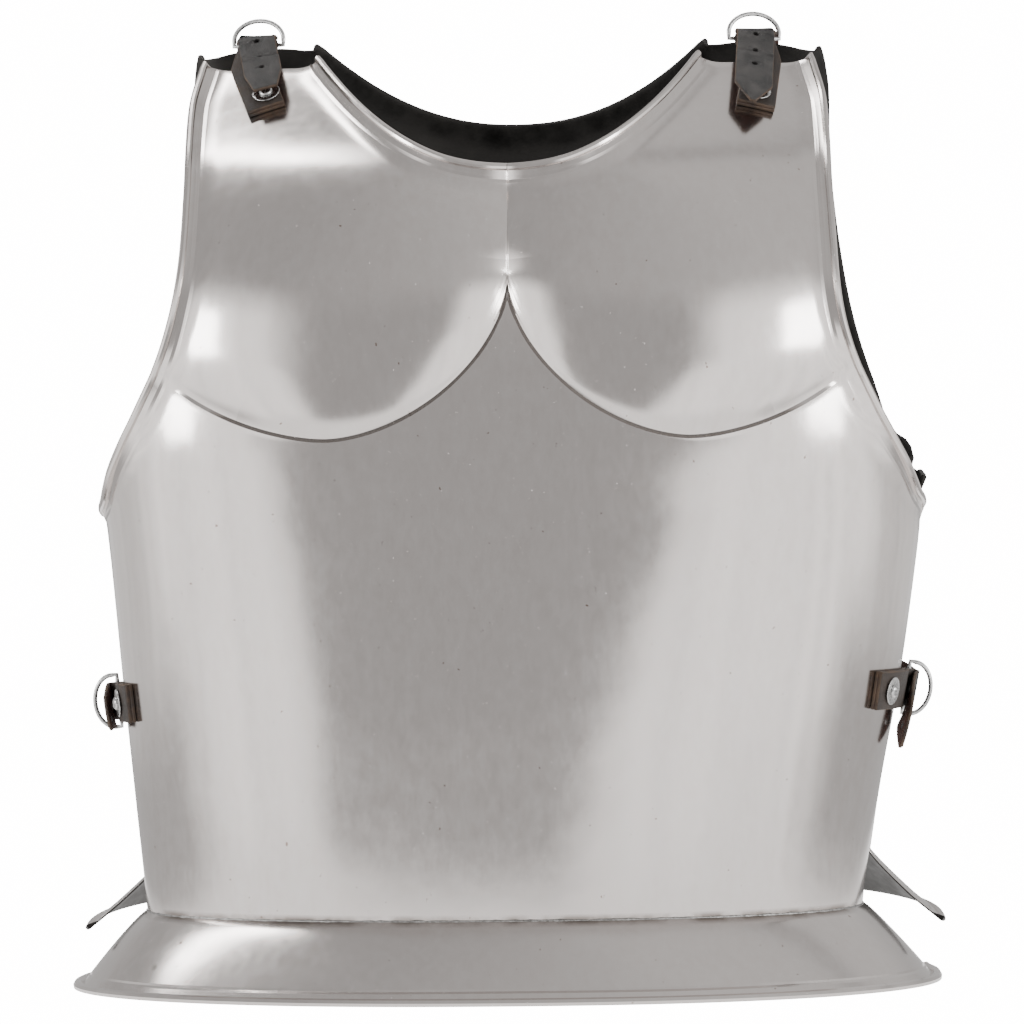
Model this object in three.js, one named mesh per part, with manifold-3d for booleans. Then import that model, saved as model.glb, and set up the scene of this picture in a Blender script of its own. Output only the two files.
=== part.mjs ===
// A steel cuirass: a formed breastplate with raised pectorals and a plain backplate, each with a welded waist
// flange, held together by four sets of leather tab, D-ring and threaded strap, at the shoulders and the sides.
//
// Millimetres, +Z up. The front looks along -Y, and +X is the wearer's left. The origin is on the ground, below the
// middle of the object. Each plate is worked out as torso sections: a point has a turn round the torso, from 0 in
// the middle of the plate to about 90 degrees at its sides, and a height.
import * as THREE from "three";
import { mergeVertices } from "three/addons/utils/BufferGeometryUtils.js";
import Module from "manifold-3d";

const wasm = await Module();
wasm.setup();

// ---- Driving dimensions ----
const SHEET = 1.2; // thickness of the steel sheet
const EDGE_ROLL = 1.9; // radius of the rolled neck and arm edges
const CUT_EDGE = 0.6; // radius of an edge that is only cut and rounded
const FLARE_WIDTH = 13; // width of the band that turns outward along the neck and the arms
const FLARE_HEIGHT = 4.5; // how far that band stands out at its edge
const FLARE_FOOT = 12; // how far below the armpit the band starts to rise
const PLATE_GAP = 26; // between the side planes of the two plates
const RELAX_PASSES = 12; // how often the grid of a plate is evened out

const GAP = 0.3; // between pieces that touch
const LEATHER = 1.8;
const STRAP_WIDTH = 20;
const WIRE = 1.2; // radius of a D-ring's wire
const RING_HALF_WIDTH = 13.8; // to the middle of the wire
const RING_LEG = 3; // straight length at each end of the bow
const BOW_HEIGHT = 10.2; // from there to the middle of the wire at the top
const SHANK = 2; // radius of a rivet's shank
const HEAD = 3.6; // radius of a rivet's head
const HEAD_HEIGHT = 1.9;
const WASHER = 7.3;
const WASHER_THICKNESS = 0.9;
const BACK_ROOM = 0.3; // more room under the straps, which turn over the backplate's edge
const RIVET_ROOM = 1; // between a rivet's foot and the sheet, which curves under it
const HOLE = 1.6; // radius of a punched hole in a strap
const FIRST_HOLE = 3; // from where a strap leaves the bar
const HOLE_PITCH = 13;
const DRILL_DEPTH = 14;
const TIP_LENGTH = 13; // the narrowing end of a strap
const SPRING = 0.4; // how far a strap springs away from its tab just past the bar

// The middles of three layers of leather above a sheet, and of a tab's loop round a ring's bar.
const LAYER_ONE = GAP + LEATHER / 2;
const LAYER_TWO = LAYER_ONE + LEATHER + GAP;
const LAYER_THREE = LAYER_TWO + LEATHER + GAP;
const TAB_RADIUS = WIRE + GAP + LEATHER / 2;

const STEEL = { color: 0xb9b4b1, roughness: 0.28, metalness: 1.0 };
const BRIGHT_STEEL = { color: 0xc9c8c6, roughness: 0.22, metalness: 1.0 };
const STRAP_LEATHER = { color: 0x4a4745, roughness: 0.6, metalness: 0.0 };
const TAB_LEATHER = { color: 0x33292a, roughness: 0.65, metalness: 0.0 };

// ---- The two plates ----
// halfWidth and depth are a section's half axes, lean is how far the section moves towards the other plate, shift
// is how far its two sides sit off centre, and squareness is 2 for an ellipse and more for a squarer one.
const breast = {
  facing: -1,
  sidePlane: 0,
  sections: [
    { z: 0, halfWidth: 187, depth: 107, lean: 0, shift: -7.5, squareness: 2.3 },
    { z: 40, halfWidth: 188, depth: 108, lean: 0, shift: -8.5, squareness: 2.3 },
    { z: 100, halfWidth: 195.5, depth: 112, lean: 0, shift: -6.5, squareness: 2.35 },
    { z: 160, halfWidth: 204, depth: 119, lean: 0, shift: -3.5, squareness: 2.4 },
    { z: 220, halfWidth: 211, depth: 125, lean: 0, shift: -1.5, squareness: 2.5 },
    { z: 245, halfWidth: 213.5, depth: 127, lean: 0, shift: -1.5, squareness: 2.55 },
    { z: 285, halfWidth: 215, depth: 130, lean: 0, shift: -4, squareness: 2.6 },
    { z: 335, halfWidth: 214, depth: 130, lean: 4, shift: -3.5, squareness: 2.6 },
    { z: 380, halfWidth: 210, depth: 127, lean: 13, shift: -0.5, squareness: 2.6 },
    { z: 424, halfWidth: 207, depth: 118, lean: 30, shift: -1, squareness: 2.6 },
    { z: 455, halfWidth: 205, depth: 106, lean: 46, shift: -2, squareness: 2.6 },
    { z: 490, halfWidth: 204, depth: 88, lean: 66, shift: -3, squareness: 2.6 },
  ],
  armEdge: [
    { z: 249, x: 211.5 },
    { z: 268, x: 202.5 },
    { z: 285, x: 192.5 },
    { z: 299, x: 184.5 },
    { z: 330, x: 170.5 },
    { z: 361, x: 163.5 },
    { z: 408, x: 161 },
    { z: 456, x: 161 },
    { z: 479.5, x: 156.5 },
  ],
  neck: { low: 418.5, high: 479.5, halfWidth: 99, curve: 2.3 },
  shoulderDip: -0.7,
  side: { turn: 91.5, armpitZ: 247, armpitRound: 9, flareFade: 55 },
  seam: { z: 39.5, rise: 0, turn: 91.5 },
  rim: { z: 1.7, rise: 0, turn: 104, flare: 36, curve: 0.85, roll: 2.7 },
  pectoral: { x: 92, z: 366, inner: 92, outer: 110, drop: 81, curve: 1.75, height: 12 },
  rows: { flange: 3, side: 4, arm: 4, chest: 10 },
  columns: { neck: 12, shoulder: 6 },
};
const back = {
  facing: 1,
  sidePlane: PLATE_GAP,
  sections: [
    { z: 40, halfWidth: 185, depth: 82, lean: 0, shift: -4, squareness: 2.3 },
    { z: 100, halfWidth: 192, depth: 86, lean: 0, shift: -1.5, squareness: 2.3 },
    { z: 180, halfWidth: 204, depth: 94, lean: 0, shift: 0, squareness: 2.4 },
    { z: 260, halfWidth: 214, depth: 102, lean: 0, shift: 0, squareness: 2.5 },
    { z: 340, halfWidth: 213, depth: 104, lean: 0, shift: 0, squareness: 2.5 },
    { z: 400, halfWidth: 209, depth: 100, lean: 6, shift: -1, squareness: 2.5 },
    { z: 440, halfWidth: 206, depth: 92, lean: 20, shift: -1.5, squareness: 2.5 },
    { z: 470, halfWidth: 205, depth: 78, lean: 42, shift: -2, squareness: 2.5 },
    { z: 500, halfWidth: 204, depth: 60, lean: 76, shift: -2, squareness: 2.5 },
  ],
  armEdge: [
    { z: 264, x: 211 },
    { z: 280, x: 206 },
    { z: 296, x: 196 },
    { z: 330, x: 182.5 },
    { z: 370, x: 173.5 },
    { z: 430, x: 166.5 },
    { z: 466, x: 166 },
    { z: 485, x: 163 },
  ],
  neck: { low: 451, high: 490, halfWidth: 103, curve: 2.2 },
  shoulderDip: -6,
  side: { turn: 90.5, armpitZ: 262, armpitRound: 9, flareFade: 50 },
  seam: { z: 64.5, rise: 16, turn: 90.5 },
  rim: { z: 28.5, rise: 18, turn: 92, flare: 41, curve: 1.1, roll: 1.5 },
  pectoral: null,
  rows: { flange: 2, side: 4, arm: 3, chest: 6 },
  columns: { neck: 8, shoulder: 5 },
};

// ---- The strap sets ----
// Heights at a shoulder, and turns in degrees at a side. breastEdge and backEdge are where the leather leaves the two
// plates, and strapRivet and strapEnd are on the backplate. The ring's bar lies `reach` past the breastplate's edge
// and `stand` off it, and the strap comes over it from an angle of `meet`.
const places = {
  shoulder: { breastEdge: 479, backEdge: 495.8, strapRivet: 474, strapEnd: 464, reach: 18.5, stand: 0, meet: 36 },
  side: { breastEdge: 90.5, backEdge: 90, strapRivet: 75, strapEnd: 69, reach: 12, stand: 3, meet: 44 },
};
// tabEnd and tabRivet are on the breastplate, and the tab and its rivet drift along X by tabDrift and rivetShift.
// x is a shoulder set's place across, and z a side set's height, with backRise more for the strap's own end.
// tail is the length of the strap's loose end. It lifts off the plate, sinks, drifts along X and turns by `twist`
// degrees on the way to its tip, and one side or both sides of the tip are cut away.
const strapSets = [
  {
    name: "shoulder_left", at: "shoulder", side: 1, x: 132.5, tabEnd: 453.5, tabRivet: 460, tabDrift: -4.5,
    rivetShift: -4, tail: 61, lift: 5, sink: 0, drift: -3, twist: 0, leftCut: 8.5, rightCut: 8.5,
  },
  {
    name: "shoulder_right", at: "shoulder", side: -1, x: 134.5, tabEnd: 455.5, tabRivet: 462.5, tabDrift: 10,
    rivetShift: 10, tail: 47, lift: 6.5, sink: 0, drift: 7.5, twist: 0, leftCut: 3.5, rightCut: 3.5,
  },
  {
    name: "side_left", at: "side", side: 1, z: 153, backRise: 3, tabEnd: 62, tabRivet: 67.5, tabDrift: 0,
    rivetShift: 0, tail: 39, lift: 0, sink: 29, drift: -10, twist: 17, leftCut: 8.5, rightCut: 8.5,
  },
  {
    name: "side_right", at: "side", side: -1, z: 150, backRise: 0, tabEnd: 69, tabRivet: 76.5, tabDrift: 0,
    rivetShift: 0, tail: 36, lift: 0, sink: 13, drift: 4, twist: -17, leftCut: 8.5, rightCut: 8.5,
  },
];

// ---- Small helpers ----
const radians = THREE.MathUtils.degToRad;
const clamp = THREE.MathUtils.clamp;
const lerp = THREE.MathUtils.lerp;

// The value of one column of a table at z, on a smooth curve through the rows.
function sample(rows, column, z) {
  const last = rows.length - 1;
  let k = 0;
  while (k < last - 1 && z > rows[k + 1].z) k++;
  const slope = (i) => {
    const [a, b] = [rows[Math.max(i - 1, 0)], rows[Math.min(i + 1, last)]];
    return (b[column] - a[column]) / (b.z - a.z);
  };
  const [low, high] = [rows[k], rows[k + 1]];
  const span = high.z - low.z;
  const t = clamp((z - low.z) / span, 0, 1);
  const [t2, t3] = [t * t, t * t * t];
  return (
    (2 * t3 - 3 * t2 + 1) * low[column] +
    (t3 - 2 * t2 + t) * span * slope(k) +
    (3 * t2 - 2 * t3) * high[column] +
    (t3 - t2) * span * slope(k + 1)
  );
}

function meshSolid(points, faces) {
  const vertProperties = new Float32Array(points.flatMap((p) => [p.x, p.y, p.z]));
  return new wasm.Manifold(new wasm.Mesh({ numProp: 3, vertProperties, triVerts: new Uint32Array(faces.flat()) }));
}

function geometrySolid(geometry, matrix) {
  const bare = geometry.clone().applyMatrix4(matrix);
  bare.deleteAttribute("normal");
  bare.deleteAttribute("uv");
  const merged = mergeVertices(bare, 1e-4);
  const mesh = { numProp: 3, vertProperties: merged.attributes.position.array };
  return new wasm.Manifold(new wasm.Mesh({ ...mesh, triVerts: new Uint32Array(merged.index.array) }));
}

function solidMesh(name, solid, finish) {
  const { vertProperties, triVerts } = solid.getMesh();
  const geometry = new THREE.BufferGeometry();
  geometry.setAttribute("position", new THREE.BufferAttribute(new Float32Array(vertProperties), 3));
  geometry.setIndex(new THREE.BufferAttribute(new Uint32Array(triVerts), 1));
  geometry.computeVertexNormals();
  const mesh = new THREE.Mesh(geometry, new THREE.MeshStandardMaterial(finish));
  mesh.name = name;
  return mesh;
}

// A frame whose +Y is the direction given, for lathes and cylinders.
function along(point, direction) {
  const turn = new THREE.Quaternion().setFromUnitVectors(new THREE.Vector3(0, 1, 0), direction);
  return new THREE.Matrix4().compose(point, turn, new THREE.Vector3(1, 1, 1));
}

// ---- A plate's surface ----
// How far the pectoral stands out, at x and z: steep at its lower edge and at the cleft, round in the middle.
function pectoralRise(plate, x, z) {
  const shape = plate.pectoral;
  if (!shape) return 0;
  const across = Math.abs(x) - shape.x;
  const down = Math.max(shape.z - z, 0) / shape.drop;
  const out = Math.abs(across) / (across < 0 ? shape.inner : shape.outer);
  const reach = (out ** shape.curve + down ** shape.curve) ** (1 / shape.curve);
  const fade = THREE.MathUtils.smoothstep(plate.neck.high - z, 0, 75);
  return shape.height * fade * Math.max(1 - reach ** 2.2, 0) ** 0.8;
}

// The lowest line of the pectoral, as x and z at a share of the way from the cleft to the arm.
function pectoralLine(plate, share) {
  const shape = plate.pectoral;
  const angle = share * Math.PI * 0.86;
  const across = -Math.cos(angle);
  const e = 2 / shape.curve;
  const x = shape.x + Math.sign(across) * Math.abs(across) ** e * (across < 0 ? shape.inner : shape.outer);
  return { x: Math.max(x, 0), z: shape.z - Math.abs(Math.sin(angle)) ** e * shape.drop };
}

// The share of that line at which it meets the arm edge.
function pectoralEnd(plate) {
  const step = 0.002;
  let share = 0.5;
  while (share < 1) {
    const at = pectoralLine(plate, share);
    if (at.x >= sample(plate.armEdge, "x", at.z)) return share;
    share += step;
  }
  return share;
}

// The turn, in radians, of the point of a section that has this x.
function turnAt(plate, x, z) {
  const p = sample(plate.sections, "squareness", z);
  const across = clamp(x / sample(plate.sections, "halfWidth", z), -1, 1);
  return Math.atan2(across, (1 - Math.abs(across) ** p) ** (1 / p));
}

function torsoPoint(plate, turn, z, flare = 0) {
  const p = sample(plate.sections, "squareness", z);
  const reach = (Math.abs(Math.sin(turn)) ** p + Math.abs(Math.cos(turn)) ** p) ** (-1 / p);
  const x = (sample(plate.sections, "halfWidth", z) + flare) * reach * Math.sin(turn);
  const shift = sample(plate.sections, "shift", z) * Math.sin(turn) ** 2;
  const out = (sample(plate.sections, "depth", z) + flare) * reach * Math.cos(turn);
  const y = out - sample(plate.sections, "lean", z) + (flare ? 0 : pectoralRise(plate, x, z));
  return new THREE.Vector3(x + shift, plate.sidePlane + plate.facing * y, z);
}

// The outward normal of the sheet at a turn and a height.
function torsoNormal(plate, turn, z) {
  const step = 0.01;
  const across = torsoPoint(plate, turn + step, z).sub(torsoPoint(plate, turn - step, z));
  const up = torsoPoint(plate, turn, z + 1).sub(torsoPoint(plate, turn, z - 1));
  return across.cross(up).multiplyScalar(-plate.facing).normalize();
}

// The same curve on a plate, with its share of the length as its parameter.
function evenly(curve, plate) {
  const samples = Array.from({ length: 41 }, (_, k) => curve(k / 40));
  const spots = samples.map(({ turn, z }) => torsoPoint(plate, turn, z));
  const lengths = [0];
  for (let k = 1; k < spots.length; k++) lengths.push(lengths[k - 1] + spots[k].distanceTo(spots[k - 1]));
  return (share) => {
    const goal = clamp(share, 0, 1) * lengths.at(-1);
    const k = Math.max(lengths.findIndex((length) => length >= goal), 1);
    const t = (goal - lengths[k - 1]) / (lengths[k] - lengths[k - 1]);
    return curve((k - 1 + t) / 40);
  };
}

// Half of a plate as a grid: rows from the rim up, and columns from the middle to the side, each { turn, z }.
function halfGrid(plate) {
  const { rows, columns, neck, side, seam, rim } = plate;
  const width = columns.neck + columns.shoulder;
  const arm = (z) => {
    const above = 1 - clamp((z - side.armpitZ) / side.armpitRound, 0, 1);
    const edgeTurn = turnAt(plate, sample(plate.armEdge, "x", z), z);
    return { turn: lerp(edgeTurn, radians(side.turn), 1 - Math.sqrt(1 - above ** 2)), z };
  };
  const armStretch = (from, to) => evenly((v) => arm(lerp(from, to, v ** 2)), plate);
  const topZ = plate.armEdge.at(-1).z;
  const end = plate.pectoral ? pectoralEnd(plate) : 0;
  const joinZ = plate.pectoral ? pectoralLine(plate, end).z : lerp(side.armpitZ, topZ, 0.35);
  const ridge = (u) => {
    const straight = { x: u * sample(plate.armEdge, "x", joinZ), z: joinZ };
    const at = plate.pectoral ? pectoralLine(plate, u * end) : straight;
    return u === 1 ? arm(joinZ) : { turn: turnAt(plate, at.x, at.z), z: at.z };
  };
  const level = (line, u) => {
    const turn = u * radians(line.turn);
    return { turn, z: line.z + line.rise * Math.cos(clamp(turn, 0, Math.PI / 2)) };
  };
  const neckShare = columns.neck / width;
  const top = (u) => {
    const outer = plate.armEdge.at(-1);
    const w = (u - neckShare) / (1 - neckShare);
    const across = w < 0 ? (neck.halfWidth * u) / neckShare : lerp(neck.halfWidth, outer.x, w);
    const neckZ = neck.low + (neck.high - neck.low) * Math.min(across / neck.halfWidth, 1) ** neck.curve;
    const z = w < 0 ? neckZ : lerp(neck.high, outer.z, w) - plate.shoulderDip * Math.sin(Math.PI * w) ** 0.5;
    return { turn: turnAt(plate, across, z), z };
  };
  const armpit = armStretch(side.armpitZ, joinZ);
  const edge = (v) => {
    const armShare = rows.arm / (rows.side + rows.arm);
    if (v <= 1 - armShare) return { turn: radians(side.turn), z: lerp(seam.z, side.armpitZ, v / (1 - armShare)) };
    return armpit((v - 1 + armShare) / armShare);
  };
  const middle = (low, high) => (v) => ({ turn: 0, z: lerp(low.z, high.z, v) });
  const patch = (low, high, inner, outer) => (u, v) => {
    const blend = (key) =>
      lerp(low(u)[key], high(u)[key], v) +
      lerp(inner(v)[key], outer(v)[key], u) -
      lerp(lerp(low(0)[key], low(1)[key], u), lerp(high(0)[key], high(1)[key], u), v);
    return { turn: blend("turn"), z: blend("z") };
  };
  const seamLine = (u) => level(seam, u);
  const body = patch(seamLine, ridge, middle(seamLine(0), ridge(0)), edge);
  const chest = patch(ridge, top, middle(ridge(0), top(0)), armStretch(joinZ, topZ));
  const grid = [];
  const addRow = (at) => grid.push(Array.from({ length: width + 1 }, (_, i) => at(i / width)));
  for (let j = 0; j < rows.flange; j++) {
    addRow((u) => {
      const v = j / rows.flange;
      const [low, high] = [level(rim, u), level(seam, u)];
      return { turn: lerp(low.turn, high.turn, v), z: lerp(low.z, high.z, v), flare: rim.flare * (1 - v) ** rim.curve };
    });
  }
  const bodyRows = rows.side + rows.arm;
  for (let j = 0; j < bodyRows; j++) addRow((u) => body(u, j / bodyRows));
  for (let j = 0; j <= rows.chest; j++) addRow((u) => chest(u, j / rows.chest));
  relax(grid, rows.flange, rows.flange + bodyRows);
  relax(grid, rows.flange + bodyRows, grid.length - 1);
  return grid;
}

// Evens out the grid between two rows that stay where they are.
function relax(grid, low, high) {
  for (let pass = 0; pass < RELAX_PASSES; pass++) {
    for (let j = low + 1; j < high; j++) {
      for (let i = 1; i < grid[j].length - 1; i++) {
        for (const key of ["turn", "z"]) {
          const around = grid[j - 1][i][key] + grid[j + 1][i][key] + grid[j][i - 1][key] + grid[j][i + 1][key];
          grid[j][i][key] = lerp(grid[j][i][key], around / 4, 0.5);
        }
      }
    }
  }
}

// Distance from a point to the nearest of a list of points.
function nearest(point, list) {
  return list.reduce((least, other) => Math.min(least, point.distanceTo(other)), Infinity);
}

// The sheet of a plate as a closed solid with rolled and cut edges.
function plateSolid(plate) {
  const half = halfGrid(plate);
  const width = half[0].length - 1;
  const columns = 2 * width + 1;
  const { rows } = plate;
  const lastRow = half.length - 1;
  const armRow = rows.flange + rows.side;
  const place = (i, j) => {
    const at = half[j][Math.abs(i - width)];
    return torsoPoint(plate, Math.sign(i - width) * at.turn, at.z, at.flare ?? 0);
  };
  const plain = { ...plate, pectoral: null };
  let grid = half.map((_, j) => Array.from({ length: columns }, (_, i) => place(i, j)));
  const normalAt = (i, j) => {
    const across = grid[j][Math.min(i + 1, columns - 1)].clone().sub(grid[j][Math.max(i - 1, 0)]);
    const up = grid[Math.min(j + 1, lastRow)][i].clone().sub(grid[Math.max(j - 1, 0)][i]);
    return across.cross(up).multiplyScalar(-plate.facing).normalize();
  };
  const isNeck = (i, j) => j === lastRow && Math.abs(i - width) <= plate.columns.neck;
  const isArm = (i, j) => (i === 0 || i === columns - 1) && j >= armRow;
  const cells = grid.flatMap((row, j) => row.map((point, i) => ({ i, j, point })));
  const flared = cells.filter(({ i, j }) => isNeck(i, j) || isArm(i, j)).map(({ point }) => point);
  const raised = (i, j) => {
    const share = Math.max(1 - nearest(grid[j][i], flared) / FLARE_WIDTH, 0);
    const { turn, z } = half[j][Math.abs(i - width)];
    const { armpitZ, flareFade } = plate.side;
    const height = FLARE_HEIGHT * THREE.MathUtils.smoothstep(z, armpitZ - FLARE_FOOT, armpitZ + flareFade);
    const outward = torsoNormal(plain, Math.sign(i - width) * turn, z);
    return grid[j][i].clone().addScaledVector(outward, height * share ** 2);
  };
  grid = grid.map((row, j) => row.map((_, i) => raised(i, j)));

  const points = [];
  const faces = [];
  const add = (point) => points.push(point) - 1;
  const face = (a, b, c) => faces.push(plate.facing < 0 ? [a, b, c] : [a, c, b]);
  const skin = (side) =>
    grid.map((row, j) => row.map((point, i) => add(point.clone().addScaledVector(normalAt(i, j), (side * SHEET) / 2))));
  const [outer, inner] = [skin(1), skin(-1)];
  const cell = (layer, i, j, rising, put) => {
    const [a, b, c, d] = [layer[j][i], layer[j][i + 1], layer[j + 1][i + 1], layer[j + 1][i]];
    put(a, b, rising ? c : d);
    put(rising ? a : b, c, d);
  };
  for (let j = 0; j < lastRow; j++) {
    for (let i = 0; i < columns - 1; i++) {
      const rising = grid[j][i].distanceTo(grid[j + 1][i + 1]) < grid[j][i + 1].distanceTo(grid[j + 1][i]);
      cell(outer, i, j, rising, face);
      cell(inner, i, j, rising, (a, b, c) => face(a, c, b));
    }
  }

  // The border, walked once round, with the roll of each edge wrapped from the outer skin to the inner one.
  const border = [];
  for (let i = 0; i < columns - 1; i++) border.push([i, 0]);
  for (let j = 0; j < lastRow; j++) border.push([columns - 1, j]);
  for (let i = columns - 1; i > 0; i--) border.push([i, lastRow]);
  for (let j = lastRow; j > 0; j--) border.push([0, j]);
  const rollSteps = 3;
  const radiusAt = (i, j) => (j === 0 ? plate.rim.roll : isNeck(i, j) || isArm(i, j) ? EDGE_ROLL : CUT_EDGE);
  const rings = border.map(([i, j], k) => {
    const before = border.at(k - 1);
    const after = border[(k + 1) % border.length];
    const tangent = grid[after[1]][after[0]].clone().sub(grid[before[1]][before[0]]).normalize();
    const normal = normalAt(i, j);
    const outward = tangent.clone().cross(normal).multiplyScalar(-plate.facing).normalize();
    const radius = radiusAt(i, j);
    const start = Math.PI - Math.asin((SHEET - radius) / radius);
    const ring = [outer[j][i]];
    for (let s = 1; s <= rollSteps; s++) {
      const angle = lerp(start, -Math.PI / 2, s / rollSteps);
      const out = radius * (Math.cos(angle) - Math.cos(start));
      const rise = radius * Math.sin(angle) + radius - SHEET / 2;
      ring.push(add(grid[j][i].clone().addScaledVector(outward, out).addScaledVector(normal, rise)));
    }
    return [...ring, inner[j][i]];
  });
  rings.forEach((ring, k) => {
    const next = rings[(k + 1) % rings.length];
    for (let s = 0; s < ring.length - 1; s++) {
      face(next[s], ring[s], ring[s + 1]);
      face(next[s], ring[s + 1], next[s + 1]);
    }
  });
  return meshSolid(points, faces);
}

// ---- Leather, rings and rivets ----
// A strip of leather along stations of { at, across, left, right }, where left and right are its widths on the two
// sides of `at`.
function ribbonSolid(stations) {
  const points = [];
  const faces = [];
  stations.forEach(({ at, across, left, right }, k) => {
    const before = stations[Math.max(k - 1, 0)].at;
    const after = stations[Math.min(k + 1, stations.length - 1)].at;
    const tangent = after.clone().sub(before).normalize();
    const wide = across.clone().addScaledVector(tangent, -across.dot(tangent)).normalize();
    const normal = wide.clone().cross(tangent);
    for (const [w, t] of [[-left, -1], [right, -1], [right, 1], [-left, 1]]) {
      points.push(at.clone().addScaledVector(wide, w).addScaledVector(normal, (t * LEATHER) / 2));
    }
  });
  const last = 4 * (stations.length - 1);
  for (let k = 0; k < last; k += 4) {
    for (let s = 0; s < 4; s++) {
      const [a, b] = [k + s, k + ((s + 1) % 4)];
      faces.push([a, b, b + 4], [a, b + 4, a + 4]);
    }
  }
  faces.push([0, 2, 1], [0, 3, 2], [last, last + 1, last + 2], [last, last + 2, last + 3]);
  return facingOut(points, faces);
}

// A closed mesh as a solid, with its faces turned over if they point inward.
function facingOut(points, faces) {
  const solid = meshSolid(points, faces);
  return solid.volume() > 0 ? solid : meshSolid(points, faces.map(([a, b, c]) => [a, c, b]));
}

// A D-ring lying in the plane of `bar` and `bow`, with the middle of its bar at the centre.
function ringSolid(centre, bar, bow) {
  const path = [];
  const barSteps = 2;
  const bowSteps = 9;
  for (let k = 0; k < barSteps; k++) path.push([lerp(-RING_HALF_WIDTH, RING_HALF_WIDTH, k / barSteps), 0]);
  path.push([RING_HALF_WIDTH, 0]);
  for (let k = 0; k <= bowSteps; k++) {
    const angle = (Math.PI * k) / bowSteps;
    path.push([RING_HALF_WIDTH * Math.cos(angle), RING_LEG + BOW_HEIGHT * Math.sin(angle)]);
  }
  const axis = bar.clone().cross(bow).normalize();
  const line = path.map(([u, v]) => centre.clone().addScaledVector(bar, u).addScaledVector(bow, v));
  const sides = 6;
  const points = [];
  const faces = [];
  line.forEach((point, k) => {
    const before = point.clone().sub(line.at(k - 1)).normalize();
    const after = line[(k + 1) % line.length].clone().sub(point).normalize();
    const tangent = before.clone().add(after).normalize();
    const mitre = 1 / Math.max(tangent.dot(after), 0.5);
    const outward = tangent.clone().cross(axis);
    for (let s = 0; s < sides; s++) {
      const angle = (2 * Math.PI * s) / sides;
      const offset = outward.clone().multiplyScalar(WIRE * mitre * Math.cos(angle));
      points.push(point.clone().add(offset.addScaledVector(axis, WIRE * Math.sin(angle))));
    }
  });
  for (let k = 0; k < line.length; k++) {
    for (let s = 0; s < sides; s++) {
      const [a, b] = [k * sides + s, k * sides + ((s + 1) % sides)];
      const step = k === line.length - 1 ? -k * sides : sides;
      faces.push([a, b, b + step], [a, b + step, a + step]);
    }
  }
  return facingOut(points, faces);
}

function latheSolid(profile, segments, matrix) {
  const outline = profile.map(([r, h]) => new THREE.Vector2(r, h));
  return geometrySolid(new THREE.LatheGeometry(outline, segments), matrix);
}

// A rivet with its shank through a sheet and `layers` mm of what lies on it: a dome outside, a flat head inside.
function rivetSolid(seat, normal, layers) {
  const under = -SHEET / 2 - RIVET_ROOM;
  const over = SHEET / 2 + layers;
  const dome = [[HEAD, over], [HEAD * 0.6, over + HEAD_HEIGHT * 0.85], [0, over + HEAD_HEIGHT]];
  const foot = [[0, under - 1.2], [HEAD, under - 1.2], [HEAD, under]];
  const shank = [[SHANK, under], [SHANK, over]];
  return latheSolid([...foot, ...shank, ...dome], 8, along(seat, normal));
}

function washerSolid(seat, normal, lift) {
  const bore = SHANK + GAP;
  const low = SHEET / 2 + lift;
  const high = low + WASHER_THICKNESS;
  return latheSolid([[bore, low], [WASHER, low], [WASHER, high], [bore, high], [bore, low]], 10, along(seat, normal));
}

function drill(solid, seat, normal, radius) {
  const sides = 6;
  const corner = radius / Math.cos(Math.PI / sides);
  const cutter = new THREE.CylinderGeometry(corner, corner, DRILL_DEPTH, sides);
  return solid.subtract(geometrySolid(cutter, along(seat, normal)));
}

// Where a strap set meets a plate, by height at a shoulder and by turn at a side, with the strap's own directions.
function seatOn(plate, set, value, shift = 0) {
  const shoulder = set.at === "shoulder";
  const z = shoulder ? value : set.z + (plate === back ? set.backRise : 0);
  const turn = shoulder ? turnAt(plate, set.side * set.x + shift, z) : set.side * radians(value);
  const at = torsoPoint(plate, turn, z);
  const level = torsoPoint(plate, turn + 0.02, z).sub(torsoPoint(plate, turn - 0.02, z)).normalize();
  const upright = torsoPoint(plate, turn, z + 2).sub(torsoPoint(plate, turn, z - 2)).normalize();
  return { at, normal: torsoNormal(plate, turn, z), across: shoulder ? level : upright };
}

// Stations on a plate from one value to another, lifted off the sheet and drifting along X.
function follow(plate, set, from, to, steps, lift, drift = 0) {
  return Array.from({ length: steps + 1 }, (_, k) => {
    const { at, normal, across } = seatOn(plate, set, lerp(from, to, k / steps), (drift * k) / steps);
    return { at: at.addScaledVector(normal, lift + SHEET / 2), across, left: STRAP_WIDTH / 2, right: STRAP_WIDTH / 2 };
  });
}

// Stations on an arc round the bar: angle 0 points along `ahead`, and 90 degrees along `out`.
function wrap(bar, radius, from, to, steps) {
  return Array.from({ length: steps + 1 }, (_, k) => {
    const angle = radians(lerp(from, to, k / steps));
    const at = bar.centre.clone().addScaledVector(bar.ahead, radius * Math.cos(angle));
    at.addScaledVector(bar.out, radius * Math.sin(angle));
    return { at, across: bar.across, left: STRAP_WIDTH / 2, right: STRAP_WIDTH / 2 };
  });
}

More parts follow.
